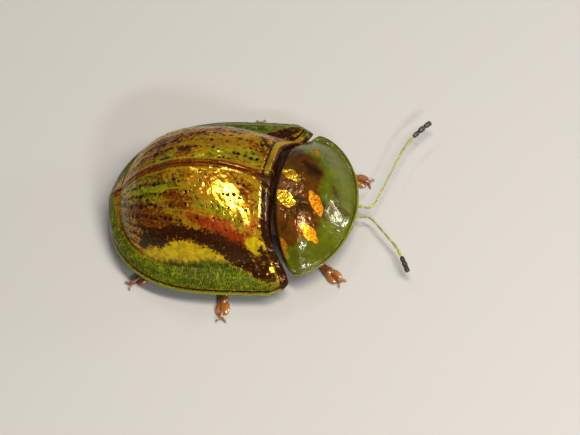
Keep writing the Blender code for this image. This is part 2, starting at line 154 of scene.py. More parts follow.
def makePiece(name, points, faceSets, masks=None, slot=None, replaces=(), material=None, smoothAngle=60):
    # points are millimetres in the beetle's own measure; faceSets are arrays of quads and of triangles
    mesh = bpy.data.meshes.new(name)
    places = (np.asarray(points, float) + shift) * mm
    mesh.vertices.add(len(places))
    mesh.vertices.foreach_set("co", places.astype(np.float32).ravel())
    corners = np.concatenate([faces.ravel() for faces in faceSets])
    sizes = np.concatenate([np.full(len(faces), faces.shape[1]) for faces in faceSets])
    mesh.loops.add(len(corners))
    mesh.loops.foreach_set("vertex_index", corners.astype(np.int32))
    mesh.polygons.add(len(sizes))
    mesh.polygons.foreach_set("loop_start", (np.cumsum(sizes) - sizes).astype(np.int32))
    mesh.update(calc_edges=True)
    for mask, values in (masks or {}).items():
        layer = mesh.attributes.new(mask, "FLOAT", "POINT")
        layer.data.foreach_set("value", np.asarray(values, np.float32).ravel())
    bm = bmesh.new()
    bm.from_mesh(mesh)
    bmesh.ops.remove_doubles(bm, verts=bm.verts, dist=1e-7)
    bmesh.ops.dissolve_degenerate(bm, edges=bm.edges, dist=1e-8)
    bmesh.ops.recalc_face_normals(bm, faces=bm.faces)
    bm.to_mesh(mesh)
    bm.free()
    mesh.shade_smooth()
    mesh.set_sharp_from_angle(angle=math.radians(smoothAngle))
    piece = bpy.data.objects.new(name, mesh)
    bpy.context.scene.collection.objects.link(piece)
    if material:
        mesh.materials.append(material)
    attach(piece, "root")
    if replaces:
        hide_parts(*replaces)
    return piece


def fanStrip(fine, coarse, step):
    # triangles between a finely pointed border and one that has every step-th of its points
    owner = coarse[np.arange(len(fine) - 1) // step]
    fans = np.stack([fine[:-1], fine[1:], owner], axis=1)
    gaps = np.stack([fine[step::step][:len(coarse) - 1], coarse[1:], coarse[:-1]], axis=1)
    return np.vstack([fans, gaps])


def shell(name, surface, rows, columns, step, **finish):
    # a closed plate: surface(u, v, under) gives points and masks of its upper and its lower skin on one grid.
    # The lower skin has every step-th column only; quads, or fans of triangles, join the two borders.
    u, v = np.meshgrid(np.linspace(0, 1, rows), np.linspace(0, 1, columns), indexing="ij")
    coarse = slice(None, None, step)
    upper, upperMasks = surface(u, v, False)
    lower, lowerMasks = surface(u[:, coarse], v[:, coarse], True)
    few = lower[0].shape[1]
    points = np.vstack([np.stack(skin, axis=-1).reshape(-1, 3) for skin in (upper, lower)])
    masks = {key: np.concatenate([upperMasks[key].ravel(), lowerMasks[key].ravel()]) for key in upperMasks}
    top = np.arange(rows * columns).reshape(rows, columns)
    bottom = top.size + np.arange(rows * few).reshape(rows, few)
    walls = [np.stack([top[:-1, c], top[1:, c], bottom[1:, c], bottom[:-1, c]], axis=1) for c in (0, -1)]
    quads = np.vstack([gridFaces(rows, columns), gridFaces(rows, few, top.size), *walls])
    ends = np.vstack([fanStrip(top[r], bottom[r], step) for r in (0, -1)])
    return makePiece(name, points, [quads, ends], masks, **finish)


def caseHalfWidth(x):
    # behind the widest place W * (1 - b^rearPower)^(1 / rearRound), and before it
    # W * (1 - waist * a^2 - lobeNarrowing * a smooth step at the lobe)
    s = caseShape
    behind = np.clip((s["widestX"] - x) / (s["widestX"] - s["apexX"]), 0, 1)
    ahead = np.clip((x - s["widestX"]) / -s["widestX"], 0, 1)
    rear = (1 - behind ** s["rearPower"]) ** (1 / s["rearRound"])
    front = 1 - s["waist"] * ahead ** 2 - s["lobeNarrowing"] * smooth(0.72, 1, ahead)
    return s["halfWidth"] * np.where(x < s["widestX"], rear, front)


def shoulderShare(along):
    # 1 at the disc's middle, eased down to 1 - shoulderNarrowing at its front
    return 1 - caseShape["shoulderNarrowing"] * smooth(0, 1, along)


def dome(x, y, less):
    # behind its middle sqrt(1 - rho^2) with a superellipse rho, and before it a half ellipse across
    # times one along; less makes the dome smaller all round
    s = caseShape
    height, rear, side = s["discHeight"] - less, s["discRear"] - less, s["discSide"] - less
    ahead = x - s["discCentreX"]
    behind = np.clip(-ahead / rear, 0, 1)
    rho = (behind ** s["discPower"] + (np.abs(y) / side) ** s["discPower"]) ** (1 / s["discPower"])
    along = np.clip(ahead / s["discFront"], 0, 1)
    across = y / (side * shoulderShare(along))
    before = np.sqrt((1 - along ** 2) * np.clip(1 - across ** 2, 0, 1))
    return height * np.where(ahead < 0, np.sqrt(np.clip(1 - rho ** 2, 0, 1)), before)


def discHalfWidth(x, less=0.0):
    # half the disc's width in plan at x: behind its middle side * (1 - b^p)^(1/p), and before it
    # side * the shoulder's share
    s = caseShape
    ahead = x - s["discCentreX"]
    behind = np.clip(-ahead / (s["discRear"] - less), 0, 1)
    share = np.where(ahead < 0, (1 - behind ** s["discPower"]) ** (1 / s["discPower"]),
                     shoulderShare(np.clip(ahead / s["discFront"], 0, 1)))
    return (s["discSide"] - less) * share


def caseHeight(x, y, inset, under):
    # soft maximum of the disc and the sloping margin, plus the shoulder's bump
    s = caseShape
    margin = s["marginSlope"] * np.minimum(inset, s["marginWidth"])
    cx, cy, spread, height = s["callus"]
    callus = height * np.exp(-((x - cx) ** 2 + (y - cy) ** 2) / spread ** 2)
    rounding = s["footBlend"] * math.log(2) * smooth(s["rimRun"], 0, inset)
    upper = softMax(dome(x, y, 0), margin, s["footBlend"]) + callus - rounding
    if not under:
        return upper
    thinning = s["rimThick"] - s["edgeThick"]
    thick = s["rimThick"] + s["marginThickening"] * smooth(0, s["thickeningRun"], inset)
    thick -= thinning * smooth(s["edgeRun"], 0, inset)
    lower = softMax(dome(x, y, s["roomInset"]), margin - thick, s["footBlend"]) - rounding
    return np.minimum(lower, upper - s["edgeThick"] - thinning * smooth(0, s["edgeRun"], inset))


caseRelief = {
    "rows": 10,               # rows of punctures from the suture to the foot of the disc
    "spacing": 0.125,         # along a row
    "pitLength": 0.036,
    "pitWidth": 0.030,
    "pitDepth": 0.015,
    "groove": 0.006,          # how deep a row lies below the ridges beside it
    "dents": ((0.36, 0.016), (0.15, 0.010), (0.065, 0.0044), (0.036, 0.0014)),   # size, depth of soft dents
    "rimRound": 0.037,
    "baseRound": 0.07,
    "sutureRound": 0.03,
    "sutureRidge": 0.022,
    "discCentre": -1.5,       # the margin's lines run out from here
    "sutureBand": 0.110,      # the raised, red-brown band along the suture, and the pale line beside it
    "sutureLine": 0.122,
    "rimLine": 0.062,         # a black line this far in from the rim
    "rimPale": 0.030,         # and a pale one outside it
    "rimClear": 0.36,         # the margin is see-through at least this far in
    "baseBand": 0.10,         # the left case's pale band, and the black lines on both sides of it
    "baseLines": (0.02, 0.175),
    "baseDark": 0.20,         # the right case's base is darkened this far in: painted shade of the groove before the pronotum
    "rear": (-1.7, -2.6),     # punctures run together into dashes from the first to the second
}


def punctures(x, rowPlace, rowWidth, side, seed, chance, grow):
    # one dimple a cell: cells are `spacing` long and one row wide, with centres, sizes and gaps scattered.
    # The distance from a centre, in dimple radii, is r; the dimple is deep inside r = 0.3 and gone at r = 1.1
    r = caseRelief
    row = np.floor(rowPlace)
    along = x / r["spacing"] + scatter(row, side, seed)
    cell = np.floor(along)
    aim = [scatter(cell + 40 * row, row + 3 * side, seed + k) for k in range(1, 6)]
    ragged = 0.010 * ripple(x, rowPlace * rowWidth, 0.022, seed + 9)
    da = (along - cell - 0.5 - 0.34 * (aim[0] - 0.5)) * r["spacing"] + ragged
    db = (rowPlace - row - 0.5 - 0.30 * (aim[1] - 0.5)) * rowWidth + ragged
    size = (0.50 + 0.85 * aim[2] ** 1.5) * grow * (aim[3] < chance)
    length = r["pitLength"] * (1 + 1.3 * smooth(-1.7, -2.9, x) * aim[4])
    far = np.hypot(da / length, db / np.minimum(r["pitWidth"], 0.36 * rowWidth)) / np.maximum(size, 1e-3)
    return smooth(1.1, 0.3, far), smooth(1.30, 0.85, far)


def caseSurface(side):
    # u runs from the apex to the base and v from the suture out to the rim
    s, r = caseShape, caseRelief

    def surface(u, v, under):
        base = s["apexX"] - s["apexX"] * u ** 1.5
        across = np.sin(0.5 * np.pi * v) * 0.55 + v * 0.45
        notch = s["notchHalfWidth"] * np.clip(1 + base / s["notchLength"], 0, 1)
        inner = s["seam"] + notch
        outer = np.maximum(caseHalfWidth(base), inner)
        y = inner + across * (outer - inner)
        lobe = s["baseForward"] * across + s["lobeForward"] * smooth(0.45, 0.95, across)
        lobe -= s["lobeTipBack"] * smooth(0.90, 1, across) ** 2
        x = base + lobe * smooth(-1.6, 0, base)
        inset, fromBase, fromSuture = outer - y, -base, y - inner
        z = s["rimHeight"] + caseHeight(x, y, inset, under)
        edge = roundOver(inset, r["rimRound"])
        if under:
            z += edge
        else:
            z -= edge + roundOver(fromBase, r["baseRound"]) + roundOver(fromSuture, r["sutureRound"])
        slope = np.gradient(outer[:, 0]) / np.gradient(base[:, 0])
        rimGap = inset / np.sqrt(1 + slope[:, None] ** 2)
        relief, marks = caseMarks(side, x, y, fromBase, fromSuture, rimGap)
        if not under:
            z += relief
        return (x, side * y, z), marks
    return surface


def stripe(value, centre, halfWidth, soft):
    # 1 within halfWidth of centre, falling to 0 over the soft distance
    return smooth(halfWidth + soft, halfWidth, np.abs(value - centre))


# markings as strokes: each is a route of (x, y outwards, half width), and each kind has a soft edge and a
# share of the wavering that makes its outline ragged
markEdges = {"rust": (0.21, 1.9), "orange": (0.14, 1.3), "dark": (0.085, 1.0), "ochre": (0.05, 0.6),
             "green": (0.28, 2.2), "gilt": (0.20, 1.2), "thread": (0.006, 0.12)}
caseStrokes = {
    "both": {
        "dark": (
            ((-2.91, 1.42, 0.08), (-2.32, 1.46, 0.11), (-1.94, 1.42, 0.14), (-1.54, 1.47, 0.11),
             (-1.22, 1.53, 0.11), (-0.89, 1.62, 0.11), (-0.58, 1.68, 0.13), (-0.33, 1.80, 0.15),
             (-0.11, 1.91, 0.17), (0.14, 2.02, 0.12)),
            ((-0.09, 1.52, 0.04), (0.03, 1.67, 0.06), (0.26, 1.88, 0.06)),
        ),
    },
    "right": {
        "rust": (
            ((-3.25, 0.74, 0.15), (-2.85, 1.10, 0.27), (-2.47, 1.32, 0.31), (-2.05, 1.40, 0.22)),
            ((-3.10, 1.05, 0.10), (-2.95, 1.30, 0.12), (-2.70, 1.42, 0.12)),
            ((-2.15, 0.79, 0.16), (-1.94, 0.93, 0.20), (-1.80, 1.03, 0.13)),
            ((-0.79, 0.21, 0.030), (-0.57, 0.46, 0.036), (-0.35, 0.73, 0.026)),
            ((-0.54, 0.33, 0.026), (-0.37, 0.46, 0.024)),
            ((-3.42, 0.13, 0.03), (-2.76, 0.29, 0.04), (-1.99, 0.33, 0.04), (-1.23, 0.28, 0.03)),
            ((-0.33, 1.63, 0.08), (-0.10, 1.61, 0.10), (0.12, 1.60, 0.06)),
            ((-3.73, 0.21, 0.04), (-3.72, 0.65, 0.07), (-3.50, 1.03, 0.09), (-3.19, 1.32, 0.09)),
        ),
        "orange": (
            ((-1.78, 1.17, 0.09), (-1.39, 1.25, 0.16), (-0.96, 1.36, 0.18), (-0.59, 1.46, 0.13)),
            ((-1.25, 0.30, 0.02), (-1.38, 0.60, 0.03), (-1.38, 0.86, 0.02)),
            ((-0.40, 1.42, 0.03), (-0.30, 1.30, 0.02), (-0.18, 1.08, 0.02)),
        ),
        "ochre": (((-0.37, 1.48, 0.06), (-0.22, 1.48, 0.12), (-0.09, 1.47, 0.08)),),
        "green": (
            ((-3.34, 0.27, 0.20), (-2.73, 0.50, 0.27), (-2.17, 0.55, 0.17)),
            ((-3.44, 0.70, 0.22), (-2.71, 0.77, 0.25)),
            ((-3.78, 0.30, 0.10), (-3.45, 0.42, 0.18), (-3.20, 0.50, 0.18)),
            ((-3.70, 0.62, 0.14), (-3.53, 0.86, 0.18), (-3.28, 1.04, 0.15)),
            ((-1.39, 0.95, 0.10), (-1.09, 1.02, 0.13), (-0.82, 1.15, 0.11), (-0.62, 1.27, 0.06)),
            ((-2.24, 1.26, 0.09), (-2.45, 1.40, 0.11)),
        ),
        "gilt": (
            ((-0.99, 0.43, 0.32), (-0.65, 0.84, 0.32), (-0.42, 1.25, 0.20), (-0.32, 1.42, 0.13)),
            ((-1.65, 0.97, 0.09), (-1.47, 0.91, 0.14), (-1.28, 0.84, 0.09)),
            ((-1.58, 0.62, 0.11), (-1.39, 0.42, 0.18)),
        ),
        "thread": (
            ((-2.31, 1.03, 0.010), (-1.94, 1.07, 0.011), (-1.55, 1.12, 0.012), (-1.20, 1.18, 0.008)),
            ((-3.08, 0.44, 0.007), (-2.34, 0.60, 0.009), (-1.48, 0.65, 0.007)),
        ),
    },
    "left": {
        "rust": (
            ((-3.30, 0.50, 0.10), (-2.87, 0.62, 0.13), (-2.48, 0.76, 0.16), (-2.09, 0.95, 0.18),
             (-1.33, 1.24, 0.17), (-0.72, 1.50, 0.14)),
            ((-3.45, 0.22, 0.10), (-3.02, 0.30, 0.10), (-2.60, 0.42, 0.08)),
            ((-2.09, 0.31, 0.10), (-1.91, 0.35, 0.12), (-1.80, 0.44, 0.08)),
            ((-0.58, 0.89, 0.030), (-0.30, 0.75, 0.040), (-0.06, 0.58, 0.040)),
        ),
        "orange": (
            ((-0.51, 1.98, 0.05), (-0.32, 1.76, 0.08), (-0.14, 1.31, 0.07)),
        ),
        "dark": (
            ((-0.34, 1.12, 0.06), (-0.24, 0.99, 0.08), (-0.16, 0.92, 0.06)),
            ((-2.09, 0.40, 0.04), (-1.88, 0.45, 0.06)),
        ),
        "green": (
            ((-1.58, 0.16, 0.12), (-1.03, 0.37, 0.16), (-0.48, 0.42, 0.14)),
            ((-2.84, 0.20, 0.14), (-2.27, 0.25, 0.12)),
        ),
        "gilt": (
            ((-1.20, 0.22, 0.12), (-0.67, 0.32, 0.22), (-0.30, 0.50, 0.20)),
            ((-1.50, 0.60, 0.10), (-0.90, 0.78, 0.14)),
        ),
        "thread": (
            ((-1.80, 0.67, 0.010), (-1.07, 0.87, 0.012), (-0.37, 1.10, 0.010)),
            ((-1.63, 0.44, 0.007), (-0.87, 0.67, 0.008)),
        ),
    },
}
# the ochre crescent's inner edge, and its outer edge, where the see-through margin begins: x and y
crescentInner = np.array((
    (-3.22, 1.30), (-2.95, 1.50), (-2.69, 1.57), (-2.42, 1.58), (-2.04, 1.55), (-1.63, 1.57), (-1.24, 1.64),
    (-0.92, 1.72), (-0.80, 1.77)))
crescentOuter = np.array((
    (-3.60, 0.90), (-3.48, 1.06), (-3.24, 1.38), (-2.98, 1.54), (-2.73, 1.64), (-2.47, 1.71), (-2.19, 1.75),
    (-1.92, 1.78), (-1.68, 1.78), (-1.27, 1.75), (-0.93, 1.74), (-0.63, 1.80), (-0.38, 1.92), (-0.17, 2.07),
    (0.10, 2.24)))


def insideRoute(x, y, routes):
    # how deep a point lies in the nearest stroke: the half width there less the distance to its middle line
    best = np.full(x.shape, -9.0)
    for route in routes:
        for (x0, y0, wide0), (x1, y1, wide1) in zip(route[:-1], route[1:]):
            t = ((x - x0) * (x1 - x0) + (y - y0) * (y1 - y0)) / ((x1 - x0) ** 2 + (y1 - y0) ** 2)
            t = np.clip(t, 0, 1)
            gap = np.hypot(x - x0 - t * (x1 - x0), y - y0 - t * (y1 - y0))
            best = np.maximum(best, wide0 + t * (wide1 - wide0) - gap)
    return best


def strokeMasks(x, y, tables, warp):
    # each kind's mask eases from 0 to 1 over its soft edge, its outline pushed about by warp
    masks = {}
    for kind, (soft, rag) in markEdges.items():
        routes = [route for table in tables for route in table.get(kind, ())]
        masks[kind] = smooth(-soft, soft, insideRoute(x, y, routes) + rag * warp)
    return masks


def caseMarks(side, x, y, fromBase, fromSuture, rimGap):
    # Relief in millimetres, and masks of the markings, each from 0 to 1: the strokes' kinds, clear for the
    # see-through margin and pit for the punctures. Around and outwards are millimetres, for the margin's net
    r = caseRelief
    half = np.maximum(discHalfWidth(x), 0.05)
    arc = 2 / np.pi * np.arcsin(np.clip(fromSuture / half, 0, 1))
    rowPlace = arc * r["rows"] + 0.16 * ripple(x, arc, 0.5, 3) + 0.05 * ripple(x, arc, 0.13, 4)
    rowWidth = 1.35 * half / r["rows"]
    warp = 0.050 * ripple(x, y, 0.40, 21) + 0.030 * ripple(x, y, 0.13, 22) + 0.016 * ripple(x, y, 0.05, 23)
    masks = strokeMasks(x, y, (caseStrokes["both"], caseStrokes["left" if side > 0 else "right"]), warp)

    start, edge = (np.interp(x, curve[:, 0], curve[:, 1]) for curve in (crescentInner, crescentOuter))
    scallop = 0.022 * np.abs(np.sin(x * 21 + 4 * warp)) + 0.4 * warp
    crescent = smooth(-0.025, 0.03, y - start + 0.5 * warp) * smooth(0.02, -0.02, y - edge - scallop)
    masks["ochre"] = np.maximum(masks["ochre"], crescent * smooth(-3.05, -2.85, x) * smooth(-0.80, -0.95, x))
    clear = smooth(-0.02, 0.03, y - edge - scallop) * smooth(-3.75, -3.55, x)
    clear = np.maximum(clear, smooth(r["rimClear"], r["rimClear"] - 0.09, rimGap + 0.6 * warp))
    lobe = smooth(-0.45, -0.05, x) * smooth(1.50, 1.80, y)
    clear *= 1 - 0.8 * masks["dark"] * lobe
    suture = smooth(r["sutureBand"], 0.085, fromSuture)
    sutureLine = stripe(fromSuture, r["sutureLine"], 0.006, 0.010) * smooth(-3.9, -3.6, x)
    rimLine = stripe(rimGap, r["rimLine"], 0.010, 0.014)
    far = 0.5 + 0.5 * side      # 1 on the left case, which the camera sees from across the suture
    baseBand = 0.55 * stripe(fromBase, r["baseBand"], 0.030, 0.02) * far * smooth(1.7, 1.5, y)
    lower, upper = r["baseLines"]
    baseLines = stripe(fromBase, lower, 0.02, 0.02) + stripe(fromBase, upper, 0.014, 0.02)
    # on the right case the base is darkened as painted shade of the groove before the pronotum; the left case
    # has its two black lines there
    baseDark = smooth(r["baseDark"], 0.140, fromBase) * (1 - far) + far * baseLines
    onDisc = (1 - clear) * smooth(0.05, 0.20, rimGap)
    keepOff = onDisc * smooth(0.13, 0.19, fromSuture) * smooth(0.15, 0.22, fromBase) * (1 - masks["ochre"])
    rear = smooth(*r["rear"], x)
    chance = (0.62 + 0.30 * rear - 0.12 * masks["gilt"] + 0.25 * masks["green"]) * (1 - far) + 0.93 * far
    grow = 1.0 + 0.22 * far + 0.15 * rear - 0.12 * masks["gilt"] * (1 - far)
    deepA, wideA = punctures(x, rowPlace, rowWidth, side, 5, chance, grow)
    deepB, wideB = punctures(x + 0.07, rowPlace + 0.5, rowWidth, side, 11, 0.30, 0.62)
    deep, pit = np.maximum(deepA, deepB) * keepOff, np.maximum(wideA, wideB) * keepOff

    dashes = smooth(0.30, 0.85, 0.5 + 0.5 * np.cos(2 * np.pi * (rowPlace - 0.5)))
    dashes *= smooth(-0.15, 0.30, ripple(x, rowPlace, 0.15, 75)) * (0.25 + 0.75 * rear) * (1 - masks["gilt"])
    pit = np.maximum(pit, 0.6 * dashes * keepOff)
    ridges = 0.5 * r["groove"] * np.cos(2 * np.pi * (rowPlace - 0.5)) * keepOff
    dents = sum(depth * ripple(x, y, size, 60 + k) for k, (size, depth) in enumerate(r["dents"]))
    around = 2.3 * np.arctan2(y, x - r["discCentre"])
    wrinkle = 0.004 * ripple(around, 0.3 * rimGap, 0.07, 71) + 0.003 * ripple(around, rimGap, 0.035, 72)
    relief = -r["pitDepth"] * deep + ridges + dents * (0.25 + 0.75 * onDisc) + wrinkle * clear
    relief += r["sutureRidge"] * smooth(0.11, 0.06, fromSuture) - 0.012 * rimLine - 0.016 * baseDark
    masks["rust"] = np.maximum(masks["rust"], suture)
    # dark also takes the black rim line and the base: painted shade on the right case, black lines on the
    # left
    masks["dark"] = np.maximum(masks["dark"], np.clip(rimLine + baseDark, 0, 1))
    rimThread = smooth(r["rimPale"], 0.018, rimGap)
    masks["thread"] = np.maximum(np.maximum(masks["thread"] * onDisc, 0.8 * sutureLine),
                                 np.maximum(rimThread * 0.8, baseBand))
    masks.update(clear=clear * (1 - rimLine) * (1 - baseDark), pit=pit, around=around, outwards=rimGap)
    return relief, masks


pronotumShape = {
    "halfWidth": 1.90,
    "frontX": 1.86,
    "sideX": 0.68,
    "baseX": 0.05,
    "baseForward": 0.24,
    "cornerForward": 0.38,
    "edgeRise": 0.20,
    "frontDrop": 0.08,
    "frontPower": 1.6,
    "edgePower": 1.8,
    "dome": 0.80,
    "domeReach": 0.92,
    "domePower": 2.6,
    "domeRound": 1.2,
    "thick": 0.45,
    "edgeRound": 0.037,
    # ovals of painted shade where the head lies under the clear front: x, y, reach along and across
    "headShade": ((1.30, -0.36, 0.20, 0.13), (1.52, -0.26, 0.22, 0.12)),
    "bulge": (0.16, -0.34, 0.17, 0.022),   # x, y, spread and height of a swelling in the largest patch
    "discMiddle": (0.20, -0.14),           # the brown disc, which ends at these distances from its middle
    "discReach": (1.05, 1.44),
    "rimLine": 0.055,
    "rimPale": 0.026,
    "dotRows": 0.11,
}
# gold seen through the brown, as strokes of (x, y, half width): bright yellow ones and orange ones
pronotumStrokes = {
    "gilt": (
        ((0.20, 0.42, 0.04), (0.38, 0.33, 0.12), (0.60, 0.17, 0.05)),
        ((0.12, -0.18, 0.10), (0.31, -0.28, 0.17), (0.50, -0.42, 0.11)),
        ((0.36, -0.42, 0.08), (0.47, -0.50, 0.06)),
        # this stroke at the right base corner is painted highlight: bright gold put where glints fall
        ((0.27, -1.33, 0.03), (0.38, -1.43, 0.04), (0.48, -1.55, 0.03)),
    ),
    "orange": (
        ((0.93, -0.13, 0.04), (1.02, -0.27, 0.11), (1.11, -0.44, 0.10), (1.17, -0.60, 0.04)),
        ((1.17, -0.60, 0.015), (1.26, -0.74, 0.013)),
        ((0.86, -0.96, 0.09), (0.98, -1.05, 0.15), (1.09, -1.13, 0.09)),
        ((0.26, -1.24, 0.04), (0.36, -1.30, 0.08), (0.44, -1.37, 0.04)),
        ((0.68, 1.28, 0.013), (0.86, 1.12, 0.018), (1.03, 0.90, 0.010)),
        ((0.73, 1.11, 0.010), (0.90, 0.98, 0.012)),
    ),
    "dark": (
        ((1.20, -0.46, 0.08), (1.28, -0.60, 0.07)),
        ((0.62, -0.30, 0.08), (0.80, -0.50, 0.14), (0.72, -0.78, 0.10)),
        ((0.66, 0.70, 0.06), (0.86, 0.52, 0.10), (1.04, 0.46, 0.06)),
        ((1.34, 0.24, 0.02), (1.44, 0.02, 0.04), (1.50, -0.20, 0.05)),
    ),
}


def pronotumFront(y):
    # x = side + (front - side) * (1 - (y / half width)^2)^(1 / frontPower)
    s = pronotumShape
    inside = np.clip(1 - (y / s["halfWidth"]) ** 2, 0, 1)
    return s["sideX"] + (s["frontX"] - s["sideX"]) * inside ** (1 / s["frontPower"])


def pronotumBase(y):
    # x = base + forward * o^1.2 + corner * o^6, where o is |y| / half width
    s = pronotumShape
    out = np.abs(y) / s["halfWidth"]
    return s["baseX"] + s["baseForward"] * out ** 1.2 + s["cornerForward"] * out ** 6


def pronotumHeight(x, y, under):
    # edge + dome * (1 - (rho / domeReach)^domePower)^domeRound, where rho^edgePower is
    # ahead^frontPower + (y / half width)^2
    s = pronotumShape
    ahead = np.clip(x - s["sideX"], 0, None) / (s["frontX"] - s["sideX"])
    rho = np.clip(ahead ** s["frontPower"] + (y / s["halfWidth"]) ** 2, 0, 1) ** (1 / s["edgePower"])
    edge = s["edgeRise"] - s["frontDrop"] * ahead
    rise = s["dome"] * (1 - np.clip(rho / s["domeReach"], 0, 1) ** s["domePower"]) ** s["domeRound"]
    thin = caseShape["edgeThick"]
    thick = thin + (s["thick"] - thin) * (1 - rho ** 2)
    return edge + rise - (thick if under else 0)


def pronotumSurface(u, v, under):
    # u runs from the right corner to the left one, v from the base to the front edge
    s = pronotumShape
    y = s["halfWidth"] * np.sin(np.pi * (u - 0.5))
    base = pronotumBase(y)
    front = np.maximum(pronotumFront(y), base + 0.03)
    v = v ** 0.9
    x = base + v * (front - base)
    z = caseShape["rimHeight"] + pronotumHeight(x, y, under)
    fromFront = np.minimum(front - x, (s["halfWidth"] - np.abs(y)) * 1.6)
    fromBase = x - base
    edge = np.maximum(roundOver(fromFront, s["edgeRound"]), roundOver(fromBase, s["edgeRound"]))
    z = z + edge if under else z - edge
    relief, marks = pronotumMarks(x, y, fromFront, fromBase)
    if not under:
        z = z + relief
    return (x, y, z), marks


def pronotumMarks(x, y, fromFront, fromBase):
    # A brown disc with gold under it, and clear margins before and beside it. Gilt is the mask of all the
    # gold, and orange tells how much of it is orange
    s = pronotumShape
    warp = 0.06 * ripple(x, y, 0.38, 81) + 0.03 * ripple(x, y, 0.12, 82) + 0.014 * ripple(x, y, 0.05, 87)
    (discX, discY), (reachX, reachY) = s["discMiddle"], s["discReach"]
    reach = np.hypot((x - discX) / reachX, (y - discY) / reachY) + 1.3 * warp
    clear = smooth(0.86, 1.02, reach)
    masks = {kind: smooth(-soft, soft, insideRoute(x, y, pronotumStrokes[kind]) + 0.35 * warp)
             for kind, soft in (("gilt", 0.02), ("orange", 0.02), ("dark", 0.06))}
    gold = np.maximum(masks["gilt"], 0.85 * masks["orange"])
    # painted shade where the head lies under the clear front, joined with the dark strokes
    shade = np.zeros_like(x)
    for cx, cy, long, wide in s["headShade"]:
        shade = np.maximum(shade, smooth(1.25, 0.55, np.hypot((x - cx) / long, (y - cy) / wide) + 2 * warp))
    shade = np.maximum(shade, masks["dark"])
    smoke = 0.35 * smooth(0.1, 0.9, ripple(x, y, 0.45, 83)) * (1 - clear)
    baseDark = smooth(0.10, 0.05, fromBase) * smooth(1.85, 1.6, np.abs(y))
    rimLine = stripe(fromFront, s["rimLine"], 0.008, 0.014) * 0.7
    grain = 0.5 + 0.5 * ripple(x, y, 0.030, 84)
    dimple = smooth(0.60, 0.85, 0.5 + 0.5 * ripple(x, y, 0.085, 86)) * smooth(0.1, 0.3, fromFront)
    dots, dotTint = punctures(x, y / s["dotRows"], s["dotRows"], 1, 17, 0.55, 0.55)
    inner = (1 - clear) * smooth(0.08, 0.2, fromBase)
    cx, cy, spread, height = s["bulge"]
    bulge = height * np.exp(-((x - cx) ** 2 + (y - cy) ** 2) / spread ** 2)
    relief = 0.003 * grain + 0.012 * ripple(x, y, 0.42, 85) + 0.004 * ripple(x, y, 0.15, 88) + bulge
    relief -= 0.010 * rimLine + 0.012 * baseDark + 0.006 * dimple + 0.010 * dots * inner
    # dark holds the painted shade over the head besides the blotches, the base edge and the rim line
    dark = np.clip(0.70 * shade * (1 - gold) + smoke * (1 - gold) + baseDark + rimLine, 0, 1)
    return relief, {
        "gilt": gold, "orange": masks["orange"], "dark": dark, "clear": np.clip(clear - shade * 0.3, 0, 1),
        "pit": np.clip(0.30 * dimple + 0.7 * dotTint, 0, 1) * inner,
        "thread": smooth(s["rimPale"], 0.015, fromFront),
    }


def feed(tree, socket, value):
    # a link where the value is another node's output, or else a plain value
    if isinstance(value, bpy.types.NodeSocket):
        tree.links.new(value, socket)
    elif hasattr(value, "__len__"):
        socket.default_value = (*value, 1)[:4]
    else:
        socket.default_value = value


def calc(tree, operation, *values):
    # one sum on numbers or outputs
    node = tree.nodes.new("ShaderNodeMath")
    node.operation = operation
    for socket, value in zip(node.inputs, values):
        feed(tree, socket, value)
    return node.outputs[0]


def blendColour(tree, share, first, second):
    # first * (1 - share) + second * share
    node = tree.nodes.new("ShaderNodeMix")
    node.data_type = "RGBA"
    feed(tree, node.inputs[0], share)
    feed(tree, node.inputs[6], first)
    feed(tree, node.inputs[7], second)
    return node.outputs[2]


def spread(tree, value, fromLow, fromHigh, toLow, toHigh):
    # the value's range from fromLow to fromHigh stretched to toLow to toHigh, and kept inside it
    node = tree.nodes.new("ShaderNodeMapRange")
    for socket, number in zip(node.inputs, (value, fromLow, fromHigh, toLow, toHigh)):
        feed(tree, socket, number)
    return node.outputs[0]


def attribute(tree, name):
    node = tree.nodes.new("ShaderNodeAttribute")
    node.attribute_name = name
    return node.outputs["Fac"]


def newGroup(name, inputs, output):
    # an empty effect with named number inputs and one named number output
    group = bpy.data.node_groups.new(name, "ShaderNodeTree")
    for key, value in inputs.items():
        group.interface.new_socket(key, in_out="INPUT", socket_type="NodeSocketFloat").default_value = value
    group.interface.new_socket(output, in_out="OUTPUT", socket_type="NodeSocketFloat")
    return group, group.nodes.new("NodeGroupInput"), group.nodes.new("NodeGroupOutput")


def objectTexture(tree, kind, scale, **settings):
    # a texture on object coordinates; its scale is in cells a metre
    node = tree.nodes.new(kind)
    for key, value in settings.items():
        if key in node.inputs:
            node.inputs[key].default_value = value
        else:
            setattr(node, key, value)
    place = tree.nodes.new("ShaderNodeTexCoord")
    tree.links.new(place.outputs["Object"], node.inputs["Vector"])
    feed(tree, node.inputs["Scale"], scale)
    return node


def mottleGroup():
    # soft blotches: noise stretched between From and To
    group, into, out = newGroup("mottle", {"Scale": 5000.0, "From": 0.4, "To": 0.6}, "Mask")
    noise = objectTexture(group, "ShaderNodeTexNoise", into.outputs["Scale"], Detail=4.0, Roughness=0.6)
    mask = spread(group, noise.outputs["Fac"], into.outputs["From"], into.outputs["To"], 0.0, 1.0)
    group.links.new(mask, out.inputs["Mask"])
    return group


def grainGroup():
    # the finest grain of the cuticle: noise and tiny cells, as a height
    group, into, out = newGroup("grain", {"Scale": 20000.0}, "Height")
    noise = objectTexture(group, "ShaderNodeTexNoise", into.outputs["Scale"], Detail=3.0)
    cells = objectTexture(group, "ShaderNodeTexVoronoi", into.outputs["Scale"])
    height = calc(group, "ADD", noise.outputs["Fac"], calc(group, "MULTIPLY", cells.outputs["Distance"], 0.6))
    group.links.new(height, out.inputs["Height"])
    return group


